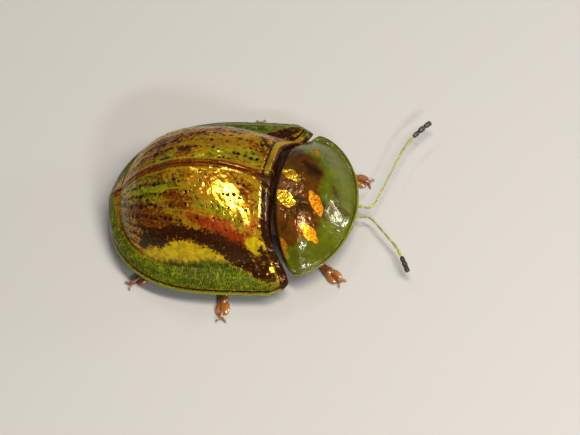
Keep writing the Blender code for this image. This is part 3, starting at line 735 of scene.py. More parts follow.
def netGroup():
    # a net of cell walls drawn out away from the rim, as in the clear margins: 1 on a wall, 0 inside a cell
    group, into, out = newGroup("net", {"Scale": 9.0, "Wall": 0.08, "Stretch": 0.4}, "Mask")
    place = group.nodes.new("ShaderNodeCombineXYZ")
    outwards = calc(group, "MULTIPLY", attribute(group, "outwards"), into.outputs["Stretch"])
    group.links.new(attribute(group, "around"), place.inputs[0])
    group.links.new(outwards, place.inputs[1])
    cells = group.nodes.new("ShaderNodeTexVoronoi")
    cells.feature = "DISTANCE_TO_EDGE"
    group.links.new(place.outputs[0], cells.inputs["Vector"])
    group.links.new(into.outputs["Scale"], cells.inputs["Scale"])
    mask = spread(group, cells.outputs["Distance"], 0.0, into.outputs["Wall"], 1.0, 0.0)
    group.links.new(mask, out.inputs["Mask"])
    return group


def crumbleGroup():
    # a soft mask given a crisp ragged edge: (mask + (noise - 0.5) * Grain - 0.5) * Crisp + 0.5, from 0 to 1
    group, into, out = newGroup("crumble", {"Mask": 0.0, "Scale": 8000.0, "Grain": 1.4, "Crisp": 5.0}, "Edge")
    noise = objectTexture(group, "ShaderNodeTexNoise", into.outputs["Scale"], Detail=5.0, Roughness=0.62)
    swing = calc(group, "MULTIPLY", calc(group, "SUBTRACT", noise.outputs["Fac"], 0.5), into.outputs["Grain"])
    raised = calc(group, "SUBTRACT", calc(group, "ADD", into.outputs["Mask"], swing), 0.5)
    edge = calc(group, "ADD", calc(group, "MULTIPLY", raised, into.outputs["Crisp"]), 0.5)
    group.links.new(spread(group, edge, 0.0, 1.0, 0.0, 1.0), out.inputs["Edge"])
    return group


mottle, grain, net, crumble = mottleGroup(), grainGroup(), netGroup(), crumbleGroup()


def effect(tree, group, **values):
    # a shared effect placed in a material with its own values
    node = tree.nodes.new("ShaderNodeGroup")
    node.node_tree = group
    for key, value in values.items():
        feed(tree, node.inputs[key], value)
    return node.outputs[0]


def newMaterial(name, **constants):
    made = bpy.data.materials.new(name)
    made.use_nodes = True
    tree = made.node_tree
    shader = tree.nodes["Principled BSDF"]
    for key, value in constants.items():
        shader.inputs[key.replace("_", " ")].default_value = value
    return made, tree, shader


def bump(tree, shader, height, distance):
    node = tree.nodes.new("ShaderNodeBump")
    node.inputs["Distance"].default_value = distance
    feed(tree, node.inputs["Height"], height)
    tree.links.new(node.outputs["Normal"], shader.inputs["Normal"])


def layer(tree, share, under, over, speckle, amount):
    # one colour over another, itself broken by a second tone in speckles
    tone = blendColour(tree, calc(tree, "MULTIPLY", speckle, amount), over[0], over[1])
    return blendColour(tree, share, under, tone)


def caseFinish(look):
    # Metal gold broken up by the strokes' masks, each made ragged: green, dark red, orange, ochre and black.
    # The margin is clear, with a net of pale lines in it; its dark green tone is painted shade, the shaded
    # ground seen through it. Lacquer lies over all, least over black.
    made, tree, shader = newMaterial("wing_case_gold", Coat_Roughness=look["lacquer"], Coat_IOR=1.33,
                                     IOR=1.35, Specular_Tint=look["sheen"])
    masks = {key: attribute(tree, key)
             for key in ("gilt", "green", "rust", "orange", "dark", "ochre", "clear", "pit", "thread")}
    coarse = effect(tree, mottle, Scale=2600.0, From=0.38, To=0.62)
    fine = effect(tree, mottle, Scale=9000.0, From=0.42, To=0.60)
    dots = effect(tree, mottle, Scale=19000.0, From=0.55, To=0.66)
    edges = {key: effect(tree, crumble, Mask=masks[key], Scale=scale, Grain=grains, Crisp=crisp)
             for key, (scale, grains, crisp) in look["ragged"].items()}
    colour = blendColour(tree, masks["gilt"], look["gold"], look["rich"])
    colour = blendColour(tree, calc(tree, "MULTIPLY", fine, look["amberShare"]), colour, look["amber"])
    colour = layer(tree, edges["green"], colour, look["green"], fine, 0.8)
    colour = layer(tree, edges["rust"], colour, look["rust"], coarse, 0.7)
    colour = layer(tree, edges["orange"], colour, look["orange"], dots, 0.6)
    colour = layer(tree, edges["ochre"], colour, look["ochre"], fine, 0.7)
    colour = layer(tree, edges["dark"], colour, look["dark"], dots, 0.55)
    colour = blendColour(tree, masks["pit"], colour, look["pit"])
    walls = effect(tree, net, Scale=look["netScale"], Wall=look["netWall"], Stretch=look["netStretch"])
    # the margin's dark green: painted shade of the ground seen through it
    clearTone = blendColour(tree, coarse, look["clear"][0], look["clear"][1])
    lines = calc(tree, "MULTIPLY", walls, spread(tree, fine, 0.0, 1.0, 0.15, look["netShare"]))
    clearTone = blendColour(tree, lines, clearTone, look["netLine"])
    colour = blendColour(tree, masks["clear"], colour, clearTone)
    colour = blendColour(tree, calc(tree, "MULTIPLY", masks["thread"], 0.8), colour, look["thread"])
    tree.links.new(colour, shader.inputs["Base Color"])

    metal = calc(tree, "MULTIPLY", spread(tree, masks["clear"], 0.0, 1.0, 1.0, 0.0),
                 spread(tree, masks["gilt"], 0.0, 1.0, look["metal"], 0.95))
    for key, share in (("ochre", 0.3), ("orange", 0.6), ("green", 0.55), ("rust", 0.7), ("dark", 0.5)):
        metal = calc(tree, "MULTIPLY", metal, spread(tree, edges[key], 0.0, 1.0, 1.0, share))
    tree.links.new(metal, shader.inputs["Metallic"])
    rough = spread(tree, fine, 0.0, 1.0, look["rough"], look["rough"] + 0.10)
    dull = calc(tree, "MAXIMUM", masks["clear"], calc(tree, "MAXIMUM", edges["orange"], edges["ochre"]))
    tree.links.new(calc(tree, "ADD", rough, calc(tree, "MULTIPLY", dull, 0.16)), shader.inputs["Roughness"])
    coat = calc(tree, "MULTIPLY", spread(tree, masks["dark"], 0.0, 1.0, look["coat"], 0.12),
                spread(tree, masks["clear"], 0.0, 1.0, 1.0, 0.6))
    tree.links.new(coat, shader.inputs["Coat Weight"])
    through = calc(tree, "MULTIPLY", masks["clear"], spread(tree, walls, 0.0, 1.0, look["through"], 0.04))
    tree.links.new(calc(tree, "SUBTRACT", 1.0, through), shader.inputs["Alpha"])
    height = calc(tree, "ADD", effect(tree, grain, Scale=look["grainScale"]),
                  calc(tree, "MULTIPLY", calc(tree, "MULTIPLY", walls, masks["clear"]), 1.4))
    bump(tree, shader, height, look["grainDepth"])
    return made


def pronotumFinish(look):
    # brown lacquer over patches of gold, clear in front and at the sides
    made, tree, shader = newMaterial("pronotum_amber", Coat_Roughness=look["lacquer"], Coat_IOR=1.4, IOR=1.35,
                                     Specular_Tint=look["sheen"])
    masks = {key: attribute(tree, key) for key in ("gilt", "orange", "dark", "clear", "pit", "thread")}
    coarse = effect(tree, mottle, Scale=2600.0, From=0.38, To=0.62)
    fine = effect(tree, mottle, Scale=9000.0, From=0.42, To=0.60)
    streaks = effect(tree, mottle, Scale=16000.0, From=0.46, To=0.56)
    gilt = effect(tree, crumble, Mask=masks["gilt"], Scale=9000.0, Grain=0.9, Crisp=5.0)
    gold = blendColour(tree, calc(tree, "MULTIPLY", fine, 0.7), look["gold"][0], look["gold"][1])
    orange = blendColour(tree, streaks, look["orange"][0], look["orange"][1])
    gold = blendColour(tree, masks["orange"], gold, orange)
    colour = blendColour(tree, coarse, look["brown"][0], look["brown"][1])
    colour = blendColour(tree, calc(tree, "MULTIPLY", fine, 0.35), colour, look["rust"])
    # the clear margins' olive: painted shade of the ground seen through them
    clearTone = blendColour(tree, coarse, look["clear"][0], look["clear"][1])
    colour = blendColour(tree, masks["clear"], colour, clearTone)
    colour = blendColour(tree, gilt, colour, gold)
    # the painted shade over the head, with the blotches and dark edges
    colour = blendColour(tree, masks["dark"], colour, look["shade"])
    colour = blendColour(tree, masks["pit"], colour, look["pit"])
    colour = blendColour(tree, calc(tree, "MULTIPLY", masks["thread"], 0.8), colour, look["thread"])
    tree.links.new(colour, shader.inputs["Base Color"])
    metal = calc(tree, "MAXIMUM", calc(tree, "MULTIPLY", gilt, 0.92),
                 spread(tree, masks["clear"], 0.0, 1.0, 0.40, 0.0))
    tree.links.new(metal, shader.inputs["Metallic"])
    coat = spread(tree, masks["dark"], 0.0, 1.0, look["coat"], 0.10)
    tree.links.new(coat, shader.inputs["Coat Weight"])
    rough = calc(tree, "ADD", spread(tree, fine, 0.0, 1.0, 0.16, 0.26), calc(tree, "MULTIPLY", streaks, 0.05))
    rough = calc(tree, "ADD", rough, calc(tree, "MULTIPLY", masks["orange"], 0.22))
    tree.links.new(rough, shader.inputs["Roughness"])
    through = calc(tree, "MULTIPLY", masks["clear"], look["through"])
    tree.links.new(calc(tree, "SUBTRACT", 1.0, through), shader.inputs["Alpha"])
    bump(tree, shader, effect(tree, grain, Scale=look["grainScale"]), look["grainDepth"])
    return made


# pairs are a tone and the second tone that speckles it
caseLook = {
    "gold": (0.48, 0.295, 0.006),
    "rich": (1.00, 0.53, 0.036),
    "amber": (0.50, 0.13, 0.003),
    "amberShare": 0.50,
    "green": ((0.25, 0.31, 0.006), (0.065, 0.065, 0.002)),
    "rust": ((0.16, 0.034, 0.002), (0.060, 0.014, 0.001)),
    "orange": ((0.215, 0.024, 0.001), (0.075, 0.009, 0.001)),
    "ochre": ((0.48, 0.33, 0.002), (0.22, 0.14, 0.001)),
    # dark is the tone of the dark markings and also of the painted shade at the right case's base
    "dark": ((0.022, 0.005, 0.001), (0.080, 0.016, 0.001)),
    "pit": (0.022, 0.006, 0.001),
    # the clear margin's dark green is painted shade: the shaded ground seen through it
    "clear": ((0.036, 0.052, 0.001), (0.018, 0.028, 0.001)),
    "netLine": (0.22, 0.25, 0.006),
    "thread": (0.26, 0.25, 0.008),
    "ragged": {"green": (15000.0, 4.2, 1.6), "rust": (15000.0, 4.2, 1.6), "orange": (20000.0, 3.0, 2.3),
               "dark": (15000.0, 2.8, 2.4), "ochre": (15000.0, 2.4, 2.2)},   # scale, grain and crispness
    "netScale": 25.0,
    "netWall": 0.14,
    "netStretch": 0.50,
    "netShare": 0.85,
    "grainScale": 26000.0,
    "grainDepth": 0.0000018,
    "lacquer": 0.035,
    "coat": 0.24,
    "rough": 0.12,
    "metal": 0.65,
    "through": 0.07,
    "sheen": (0.85, 0.66, 0.30, 1.0),
}
pronotumLook = {
    "gold": ((1.00, 0.60, 0.03), (0.80, 0.34, 0.01)),
    "orange": ((0.90, 0.34, 0.008), (0.40, 0.10, 0.003)),
    "brown": ((0.115, 0.040, 0.002), (0.055, 0.017, 0.001)),
    "rust": (0.14, 0.036, 0.002),
    # the clear margins' olive is painted shade: the shaded ground seen through them
    "clear": ((0.078, 0.096, 0.001), (0.050, 0.058, 0.001)),
    # the tone of the painted shade over the head, also used for the blotches, the base edge and the rim line
    "shade": (0.018, 0.008, 0.001),
    "pit": (0.030, 0.010, 0.001),
    "thread": (0.16, 0.17, 0.008),
    "grainScale": 19000.0,
    "grainDepth": 0.0000018,
    "lacquer": 0.04,
    "coat": 0.42,
    "through": 0.06,
    "sheen": (0.80, 0.62, 0.35, 1.0),
}
caseMaterial = caseFinish(caseLook)
pronotumMaterial = pronotumFinish(pronotumLook)


def cuticleMaterial(name, first, second, rough, coat, grainScale=15000.0, grainDepth=0.000002, metal=0.0,
                    glow=0.0):
    # plain cuticle: two tones in blotches, with grain
    made, tree, shader = newMaterial(name, Coat_Weight=coat, Coat_Roughness=0.06, Metallic=metal,
                                     Subsurface_Weight=glow, Subsurface_Scale=0.0002)
    patch = effect(tree, mottle, Scale=3500.0, From=0.35, To=0.65)
    tree.links.new(blendColour(tree, patch, first, second), shader.inputs["Base Color"])
    tree.links.new(spread(tree, patch, 0.0, 1.0, rough, rough + 0.15), shader.inputs["Roughness"])
    bump(tree, shader, effect(tree, grain, Scale=grainScale), grainDepth)
    return made


undersideMaterial = cuticleMaterial("underside_brown", (0.055, 0.028, 0.010), (0.10, 0.052, 0.016), 0.32, 0.5)
headMaterial = cuticleMaterial("head_brown", (0.10, 0.055, 0.016), (0.055, 0.026, 0.008), 0.35, 0.5)
mouthMaterial = cuticleMaterial("mouth_amber", (0.20, 0.10, 0.025), (0.10, 0.045, 0.012), 0.35, 0.4)
scutellumMaterial = cuticleMaterial("scutellum_dark", (0.028, 0.009, 0.002), (0.085, 0.028, 0.004), 0.34,
                                    0.10, metal=0.9)
legMaterial = cuticleMaterial("leg_amber", (0.22, 0.080, 0.011), (0.10, 0.032, 0.005), 0.28, 0.7, glow=0.15)
padMaterial = cuticleMaterial("pad_amber", (0.32, 0.125, 0.025), (0.17, 0.055, 0.010), 0.25, 1.0, glow=0.2)
feelerMaterial = cuticleMaterial("feeler_olive", (0.30, 0.31, 0.045), (0.20, 0.19, 0.030), 0.35, 0.4,
                                 glow=0.2)
clubMaterial = cuticleMaterial("club_black", (0.010, 0.009, 0.008), (0.028, 0.020, 0.014), 0.45, 0.2)


def eyeFinish():
    # near-black lens with a net of small facets
    made, tree, shader = newMaterial("eye_black", Coat_Weight=1.0, Coat_Roughness=0.04, Roughness=0.2)
    cells = objectTexture(tree, "ShaderNodeTexVoronoi", 38000.0, feature="DISTANCE_TO_EDGE")
    facets = spread(tree, cells.outputs["Distance"], 0.0, 0.12, 1.0, 0.0)
    tree.links.new(blendColour(tree, facets, (0.010, 0.008, 0.006), (0.035, 0.022, 0.012)),
                   shader.inputs["Base Color"])
    bump(tree, shader, calc(tree, "MULTIPLY", facets, -1.0), 0.000002)
    return made


eyeMaterial = eyeFinish()
print("materials made")

# points along and across each plate, and the step between those that its lower skin keeps
shieldGrids = {"case": (421, 181, 10), "pronotum": (361, 201, 10)}
sides = (("left", 1), ("right", -1))
for sideName, side in sides:
    shell("wing_case_" + sideName + "_shell", caseSurface(side), *shieldGrids["case"], slot="wing_case",
          replaces=("wing_case_" + sideName,), material=caseMaterial)
shell("pronotum_shell", pronotumSurface, *shieldGrids["pronotum"], slot="pronotum", replaces=("pronotum",),
      material=pronotumMaterial)
print("shield made")


scutellumShape = {"length": 0.36, "halfWidth": 0.155, "thick": 0.20, "below": 0.02, "round": 0.03,
                  "crown": 0.02}


def scutellumSurface(u, v, under):
    # a low triangle, its tip towards the apex, slightly domed, its sides rounded over
    s = scutellumShape
    x = -s["length"] + 0.02 + u * (s["length"] - 0.02)
    half = s["halfWidth"] * np.clip(u, 0.02, 1) ** 0.9
    y = (2 * v - 1) * half
    top = caseShape["rimHeight"] + dome(x, y, 0) - s["below"]
    fromEdge = (half - np.abs(y)) * 0.9
    z = top - s["thick"] if under else top - roundOver(fromEdge, s["round"]) - roundOver(-x, s["round"])
    if not under:
        z = z + s["crown"] * (1 - (2 * v - 1) ** 2) * u + 0.004 * ripple(x, y, 0.05, 91)
    return (x, y, z), {}


shell("scutellum_plate", scutellumSurface, 41, 41, 10, slot="scutellum", replaces=("scutellum",),
      material=scutellumMaterial)

trunkShape = {
    "bellyHeight": 0.72,
    "edgeRise": 0.14,
    "frontX": -0.06,
    "splitX": -1.25,
    "fill": 0.97,
    "edgeThick": 0.08,
    "plates": 5,
    "plateStep": 0.05,
    "foreRearX": 0.02,
    "foreFrontX": 0.88,
    "foreHalfWidth": 0.88,
    "gap": 0.05,
}


def bellyHeight(across):
    # belly + edge rise * |across|^4, with across from -1 to 1
    return trunkShape["bellyHeight"] + trunkShape["edgeRise"] * np.abs(across) ** 4


def trunkSkins(x, v):
    # the body's upper and lower heights, and y, from its middle line out to its edge
    s = trunkShape
    across = 2 * v - 1
    y = across * np.maximum(s["fill"] * discHalfWidth(x, caseShape["roomInset"]), 0.02)
    top = caseShape["rimHeight"] + dome(x, y, caseShape["roomInset"]) - s["gap"]
    low = np.minimum(bellyHeight(across), top - s["edgeThick"])
    return y, top, low, across


def thoraxSurface(u, v, under):
    # breastplate: a groove along its middle, a seam across it and shallow dimples
    s = trunkShape
    x = s["splitX"] - 0.02 + u * (s["frontX"] - s["splitX"] + 0.04)
    y, top, low, across = trunkSkins(x, v)
    seamX = -0.52 - 0.10 * np.abs(across)
    low = low + 0.05 * np.exp(-(y / 0.07) ** 2) + 0.03 * stripe(x, seamX, 0.01, 0.03)
    low += 0.010 * smooth(0.55, 0.8, 0.5 + 0.5 * ripple(x, y, 0.07, 101))
    low += 0.06 * smooth(0.86, 1.0, np.abs(across)) + 0.015 * ripple(x, y, 0.5, 102)
    return (x, y, low if under else top), {}


def abdomenSurface(u, v, under):
    # five plates, each stepping down towards the next, with a fine pitted face
    s = trunkShape
    tip = caseShape["discCentreX"] - s["fill"] * (caseShape["discRear"] - caseShape["roomInset"])
    front = s["splitX"] + 0.02
    x = tip + (1 - np.cos(0.5 * np.pi * u)) * (front - tip)
    y, top, low, across = trunkSkins(x, v)
    plate = (front - x) / (front - tip) * s["plates"] + 0.10 * across ** 2
    share = plate - np.floor(plate)
    low = low + s["plateStep"] * share + 0.03 * smooth(0.90, 1.0, share)
    low += 0.006 * smooth(0.55, 0.8, 0.5 + 0.5 * ripple(x, y, 0.05, 103)) + 0.010 * ripple(x, y, 0.4, 104)
    return (x, y, np.minimum(low, top - s["edgeThick"]) if under else top), {}


def foreSurface(u, v, under):
    # prothorax under the pronotum, with a raised tongue between the front hips
    s = trunkShape
    across = 2 * v - 1
    half = s["foreHalfWidth"] * (1 - 0.35 * u ** 3)
    y = across * half
    x = s["foreRearX"] - 0.06 + u * (s["foreFrontX"] - s["foreRearX"] + 0.06)
    top = caseShape["rimHeight"] + pronotumHeight(np.maximum(x, pronotumBase(y)), y, True) - s["gap"]
    low = bellyHeight(across) + 0.10 * u ** 2 - 0.05 * np.exp(-(y / 0.16) ** 2) * smooth(1.0, 0.8, u)
    low += 0.008 * smooth(0.55, 0.8, 0.5 + 0.5 * ripple(x, y, 0.06, 105))
    return (x, y, low if under else top), {}


for pieceName, surface, node in (("thorax_plates", thoraxSurface, "thorax"),
                                 ("abdomen_plates", abdomenSurface, "abdomen"),
                                 ("prothorax_plate", foreSurface, "prothorax")):
    shell(pieceName, surface, 161, 121, 1, slot="underside", replaces=(node,), material=undersideMaterial)
print("trunk made")


def ballPart(centre, radii, axes=None, rows=24, columns=32, shape=None):
    # an ellipsoid on a grid of latitude and longitude; shape(point on the unit ball) scales it out or in
    around = np.arange(columns) * 2 * np.pi / columns
    lat, lon = np.meshgrid(np.linspace(0, np.pi, rows), around, indexing="ij")
    unit = np.stack([np.cos(lat), np.sin(lat) * np.cos(lon), np.sin(lat) * np.sin(lon)], axis=-1)
    if shape:
        unit = unit * shape(unit)[..., None]
    axes = np.eye(3) if axes is None else np.asarray(axes, float)
    points = np.asarray(centre, float) + (unit * np.asarray(radii, float)) @ axes
    return points.reshape(-1, 3), gridFaces(rows, columns, loop=True)


def tubePart(route, radii, sides=20, flatten=1.0, up=(0, 0, 1)):
    # a round limb: circles of the given radii, square to the route, its ends drawn in to points
    route, radii = np.asarray(route, float), np.asarray(radii, float)
    ahead = np.gradient(route, axis=0)
    ahead /= np.linalg.norm(ahead, axis=1, keepdims=True)
    across = np.cross(np.asarray(up, float), ahead)
    across /= np.linalg.norm(across, axis=1, keepdims=True)
    lift = np.cross(ahead, across)
    turn = np.arange(sides) * 2 * np.pi / sides
    cosine, sine = np.cos(turn)[None, :, None], np.sin(turn)[None, :, None]
    ring = cosine * across[:, None] * flatten + sine * lift[:, None]
    points = route[:, None] + ring * radii[:, None, None]
    return points.reshape(-1, 3), gridFaces(len(route), sides, loop=True)


def join(parts):
    # several parts as one set of points and quads
    points, quads, start = [], [], 0
    for part in parts:
        points.append(part[0])
        quads.append(part[1] + start)
        start += len(part[0])
    return np.vstack(points), [np.vstack(quads)]


def limbRadii(count, *profile):
    # radii from a few (place along, radius) pairs, eased between them, and closed at both ends
    along = np.linspace(0, 1, count)
    places, sizes = zip(*profile)
    radii = np.interp(along, places, sizes)
    ends = np.sqrt(np.clip(1 - (1 - np.minimum(along, 1 - along) / 0.08).clip(0, 1) ** 2, 0, 1))
    return radii * ends


headShape = {"centre": (1.20, 0.0, 0.62), "radii": (0.31, 0.42, 0.35), "eye": (1.24, 0.37, 0.70),
             "eyeRadii": (0.16, 0.13, 0.21)}


def headForm(p):
    # brow groove along the middle, a flatter face, and fine dimples
    groove = 0.05 * np.exp(-(p[..., 1] / 0.10) ** 2) * smooth(0.1, 0.6, p[..., 0])
    flat = 0.06 * smooth(0.5, 1.0, p[..., 0])
    dimples = 0.012 * smooth(0.5, 0.8, 0.5 + 0.5 * ripple(p[..., 1], p[..., 2] + p[..., 0], 0.10, 111))
    return 1 - groove - flat - dimples


makePiece("head_capsule", *join([ballPart(headShape["centre"], headShape["radii"], rows=64, columns=96,
                                          shape=headForm)]),
          slot="head", replaces=("head",), material=headMaterial)
for sideName, side in sides:
    cx, cy, cz = headShape["eye"]
    makePiece("eye_" + sideName + "_lens", *join([ballPart((cx, side * cy, cz), headShape["eyeRadii"],
                                                           rows=40, columns=56)]),
              slot="eye", replaces=("eye_" + sideName,), material=eyeMaterial)


mouthShape = {
    "lip": ((1.47, 0, 0.36), (0.10, 0.20, 0.07)),
    "chin": ((1.36, 0, 0.30), (0.17, 0.21, 0.15)),
    "jaw": ((1.38, 0.16, 0.26), (1.50, 0.15, 0.23), (1.56, 0.03, 0.22)),
    "jawRadii": ((0, 0.07), (0.5, 0.06), (1, 0.02)),
    "palp": ((1.40, 0.13, 0.24), (1.55, 0.19, 0.22), (1.69, 0.17, 0.14)),
    "palpRadius": 0.036,
    "palpBead": 0.014,
    "palpTaper": 0.012,
}


def mouthParts():
    # upper lip, chin, two jaws, and four-jointed feelers beside them
    s = mouthShape
    parts = [ballPart(*s["lip"], rows=20, columns=28), ballPart(*s["chin"], rows=24, columns=32)]
    for side in (1, -1):
        jaw, palp = (smoothRoute([(x, side * y, z) for x, y, z in s[name]], count)
                     for name, count in (("jaw", 16), ("palp", 33)))
        parts.append(tubePart(jaw, limbRadii(16, *s["jawRadii"])))
        along = np.linspace(0, 1, 33)
        beads = s["palpRadius"] + s["palpBead"] * np.abs(np.sin(4 * np.pi * along)) - s["palpTaper"] * along
        parts.append(tubePart(palp, beads * limbRadii(33, (0, 1), (1, 1))))
    return join(parts)


makePiece("mouth_pieces", *mouthParts(), slot="head", replaces=("mouthparts",), material=mouthMaterial)
print("head made")

feelerShape = {
    "routes": {
        "left": ((1.36, 0.20, 0.62), (1.62, 0.20, 0.55), (1.86, 0.18, 0.50), (2.14, 0.20, 0.50),
                 (2.32, 0.62, 0.53), (2.46, 1.06, 0.55), (2.72, 1.82, 0.58), (3.02, 2.28, 0.57),
                 (3.22, 2.50, 0.56)),
        "right": ((1.36, -0.20, 0.62), (1.62, -0.16, 0.54), (1.86, -0.10, 0.48), (2.12, -0.10, 0.47),
                  (2.40, -0.38, 0.50), (2.62, -0.62, 0.51), (2.87, -0.90, 0.51), (3.02, -1.14, 0.50),
                  (3.22, -1.52, 0.48)),
    },
    # length share, radius at its start, widest radius and black or not, for each of the eleven joints
    "joints": ((0.110, 0.030, 0.050, 0), (0.065, 0.024, 0.036, 0), (0.110, 0.019, 0.027, 0),
               (0.120, 0.018, 0.026, 0), (0.120, 0.018, 0.026, 0), (0.115, 0.019, 0.028, 0),
               (0.105, 0.020, 0.030, 0), (0.090, 0.022, 0.034, 0), (0.055, 0.036, 0.056, 1),
               (0.050, 0.044, 0.064, 1), (0.060, 0.044, 0.060, 1)),
}


def alongRoute(route, share):
    # points of a fine route at the given shares of its length
    steps = np.concatenate([[0], np.cumsum(np.linalg.norm(np.diff(route, axis=0), axis=1))])
    wanted = np.asarray(share) * steps[-1]
    return np.stack([np.interp(wanted, steps, route[:, k]) for k in range(3)], axis=-1)


def feeler(sideName, black):
    # the joints of one colour: neck + (widest - neck) * sin^1.5, closed to points over the end eighths
    route = smoothRoute(feelerShape["routes"][sideName], 400)
    parts, start = [], 0.0
    for share, neck, widest, isBlack in feelerShape["joints"]:
        if isBlack == black:
            place = np.linspace(0, 1, 14)
            swell = neck + (widest - neck) * np.sin(np.pi * np.clip(0.15 + 0.62 * place, 0, 1)) ** 1.5
            closing = (1 - np.minimum(place, 1 - place) / 0.12).clip(0, 1)
            radii = swell * np.sqrt(np.clip(1 - closing ** 2, 0, 1))
            parts.append(tubePart(alongRoute(route, start + place * share * 1.02), radii, sides=18))
        start += share
    return join(parts)


for sideName, _ in sides:
    makePiece("antenna_" + sideName + "_stem", *feeler(sideName, 0), slot="antenna",
              replaces=("antenna_" + sideName,), material=feelerMaterial)
    makePiece("antenna_" + sideName + "_club", *feeler(sideName, 1), slot="antenna", material=clubMaterial)
print("antennae made")

legShape = {
    "hips": {"front": (0.52, 0.36), "middle": (-0.36, 0.44), "hind": (-1.02, 0.50)},
    "bends": {
        ("front", "left"): ((0.98, 1.06), (1.36, 1.22), (1.95, 1.08)),
        ("front", "right"): ((0.86, 1.06), (1.14, 1.26), (1.64, 1.66)),
        ("middle", "left"): ((-0.66, 1.48), (-0.88, 2.05), (-0.96, 2.74)),
        ("middle", "right"): ((-0.78, 1.46), (-1.12, 2.02), (-1.08, 2.79)),
        ("hind", "left"): ((-1.98, 1.22), (-2.66, 1.50), (-3.30, 1.98)),
        ("hind", "right"): ((-2.02, 1.18), (-2.76, 1.40), (-3.46, 1.92)),
    },
    "hipHeight": 0.50,
    "kneeHeight": 0.36,
    "ankleHeight": 0.17,
    "coxa": (0.22, 0.25, 0.22),
    "coxaHeight": 0.64,
    "trochanter": (0.13, 0.13, 0.12),
    "thigh": ((0, 0.10), (0.35, 0.17), (0.7, 0.16), (1, 0.10)),    # share of the length, and radius
    "shin": ((0, 0.075), (0.3, 0.080), (0.8, 0.115), (1, 0.12)),
    "heelBack": 0.10,
    "footJoints": ((0.16, (0.15, 0.10, 0.10)), (0.33, (0.14, 0.13, 0.10))),   # share of the foot, and radii
    "jointHeight": 0.065,
    "pad": (0.17, 0.090, 0.070),
    "padPlace": 0.58,
    "padApart": 0.085,
    "padHeight": 0.05,
    "stalk": ((0.45, 0.10), (0.72, 0.13), (0.90, 0.09)),           # share of the foot, and height
    "stalkRadii": ((0, 0.035), (0.7, 0.05), (1, 0.055)),
    "claw": ((0.88, 0.02, 0.09), (0.96, 0.09, 0.10), (1.00, 0.12, 0.03)),     # share, out, and height
    "clawRadii": ((0, 0.028), (0.5, 0.022), (1, 0.006)),
}


def grounded(part):
    # nothing of a foot reaches below the floor: its sole is pressed flat
    points = part[0].copy()
    points[:, 2] = np.maximum(points[:, 2], 0)
    return points, part[1]


def legParts(pair, sideName):
    # Coxa and trochanter, a flattened thigh, a shin that widens to its end, and a foot. The foot's parts
    # stand at heel + reach * share * ahead, and out to its sides along across
    s = legShape
    side = 1 if sideName == "left" else -1
    hipX, hipY = s["hips"][pair]
    hip = np.array([hipX, side * hipY, s["hipHeight"]])
    knee, ankle, toe = (np.array([x, side * y, 0.0]) for x, y in s["bends"][pair, sideName])
    knee[2], ankle[2] = s["kneeHeight"], s["ankleHeight"]
    start = hip + 0.16 * (knee - hip)
    limbs = [ballPart((hipX, side * hipY, s["coxaHeight"]), s["coxa"]),
             ballPart(start + [0, 0, 0.02], s["trochanter"])]
    bones = ((start, knee, 0.03, "thigh", 0.8), (knee, ankle, 0.04, "shin", 0.85))
    for first, last, bow, profile, flatten in bones:
        middle = 0.5 * (first + last) + [0, 0, bow]
        route = smoothRoute([first, middle, last], 40)
        limbs.append(tubePart(route, limbRadii(40, *s[profile]), 24, flatten))
    line = toe - ankle
    line[2] = 0
    length = np.linalg.norm(line)
    ahead = line / length
    across = np.array([-ahead[1], ahead[0], 0])
    axes = np.stack([ahead, across, [0, 0, 1]])
    heel = np.array([ankle[0], ankle[1], 0]) - s["heelBack"] * ahead
    reach = length + s["heelBack"]

    def onFoot(share, out, height):
        return heel + reach * share * ahead + out * across + [0, 0, height]

    joints = [grounded(ballPart(onFoot(share, 0, s["jointHeight"]), radii, axes))
              for share, radii in s["footJoints"]]
    stalk = smoothRoute([onFoot(share, 0, height) for share, height in s["stalk"]], 24)
    joints.append(tubePart(stalk, limbRadii(24, *s["stalkRadii"])))
    pads = []
    for lobe in (1, -1):
        centre = onFoot(s["padPlace"], lobe * s["padApart"], s["padHeight"])
        pads.append(grounded(ballPart(centre, s["pad"], axes)))
    for lobe in (1, -1):
        claw = smoothRoute([onFoot(share, lobe * out, height) for share, out, height in s["claw"]], 16)
        pads.append(grounded(tubePart(claw, limbRadii(16, *s["clawRadii"]), 12)))
    return join(limbs + joints), join(pads)


for pair, sideName in legShape["bends"]:
    limb, pads = legParts(pair, sideName)
    nodes = [f"{pair}_{part}_{sideName}" for part in ("femur", "tibia", "tarsus")]
    makePiece(f"{pair}_leg_{sideName}", *limb, slot="leg", replaces=nodes, material=legMaterial)
    makePiece(f"{pair}_pads_{sideName}", *pads, slot="leg", material=padMaterial)
print("legs made")

stageLook = {
    "floorSize": 1.2,
    "floorColour": (0.42, 0.415, 0.40),
    "worldColour": (0.80, 0.86, 0.95),
    "worldStrength": 0.15,
}


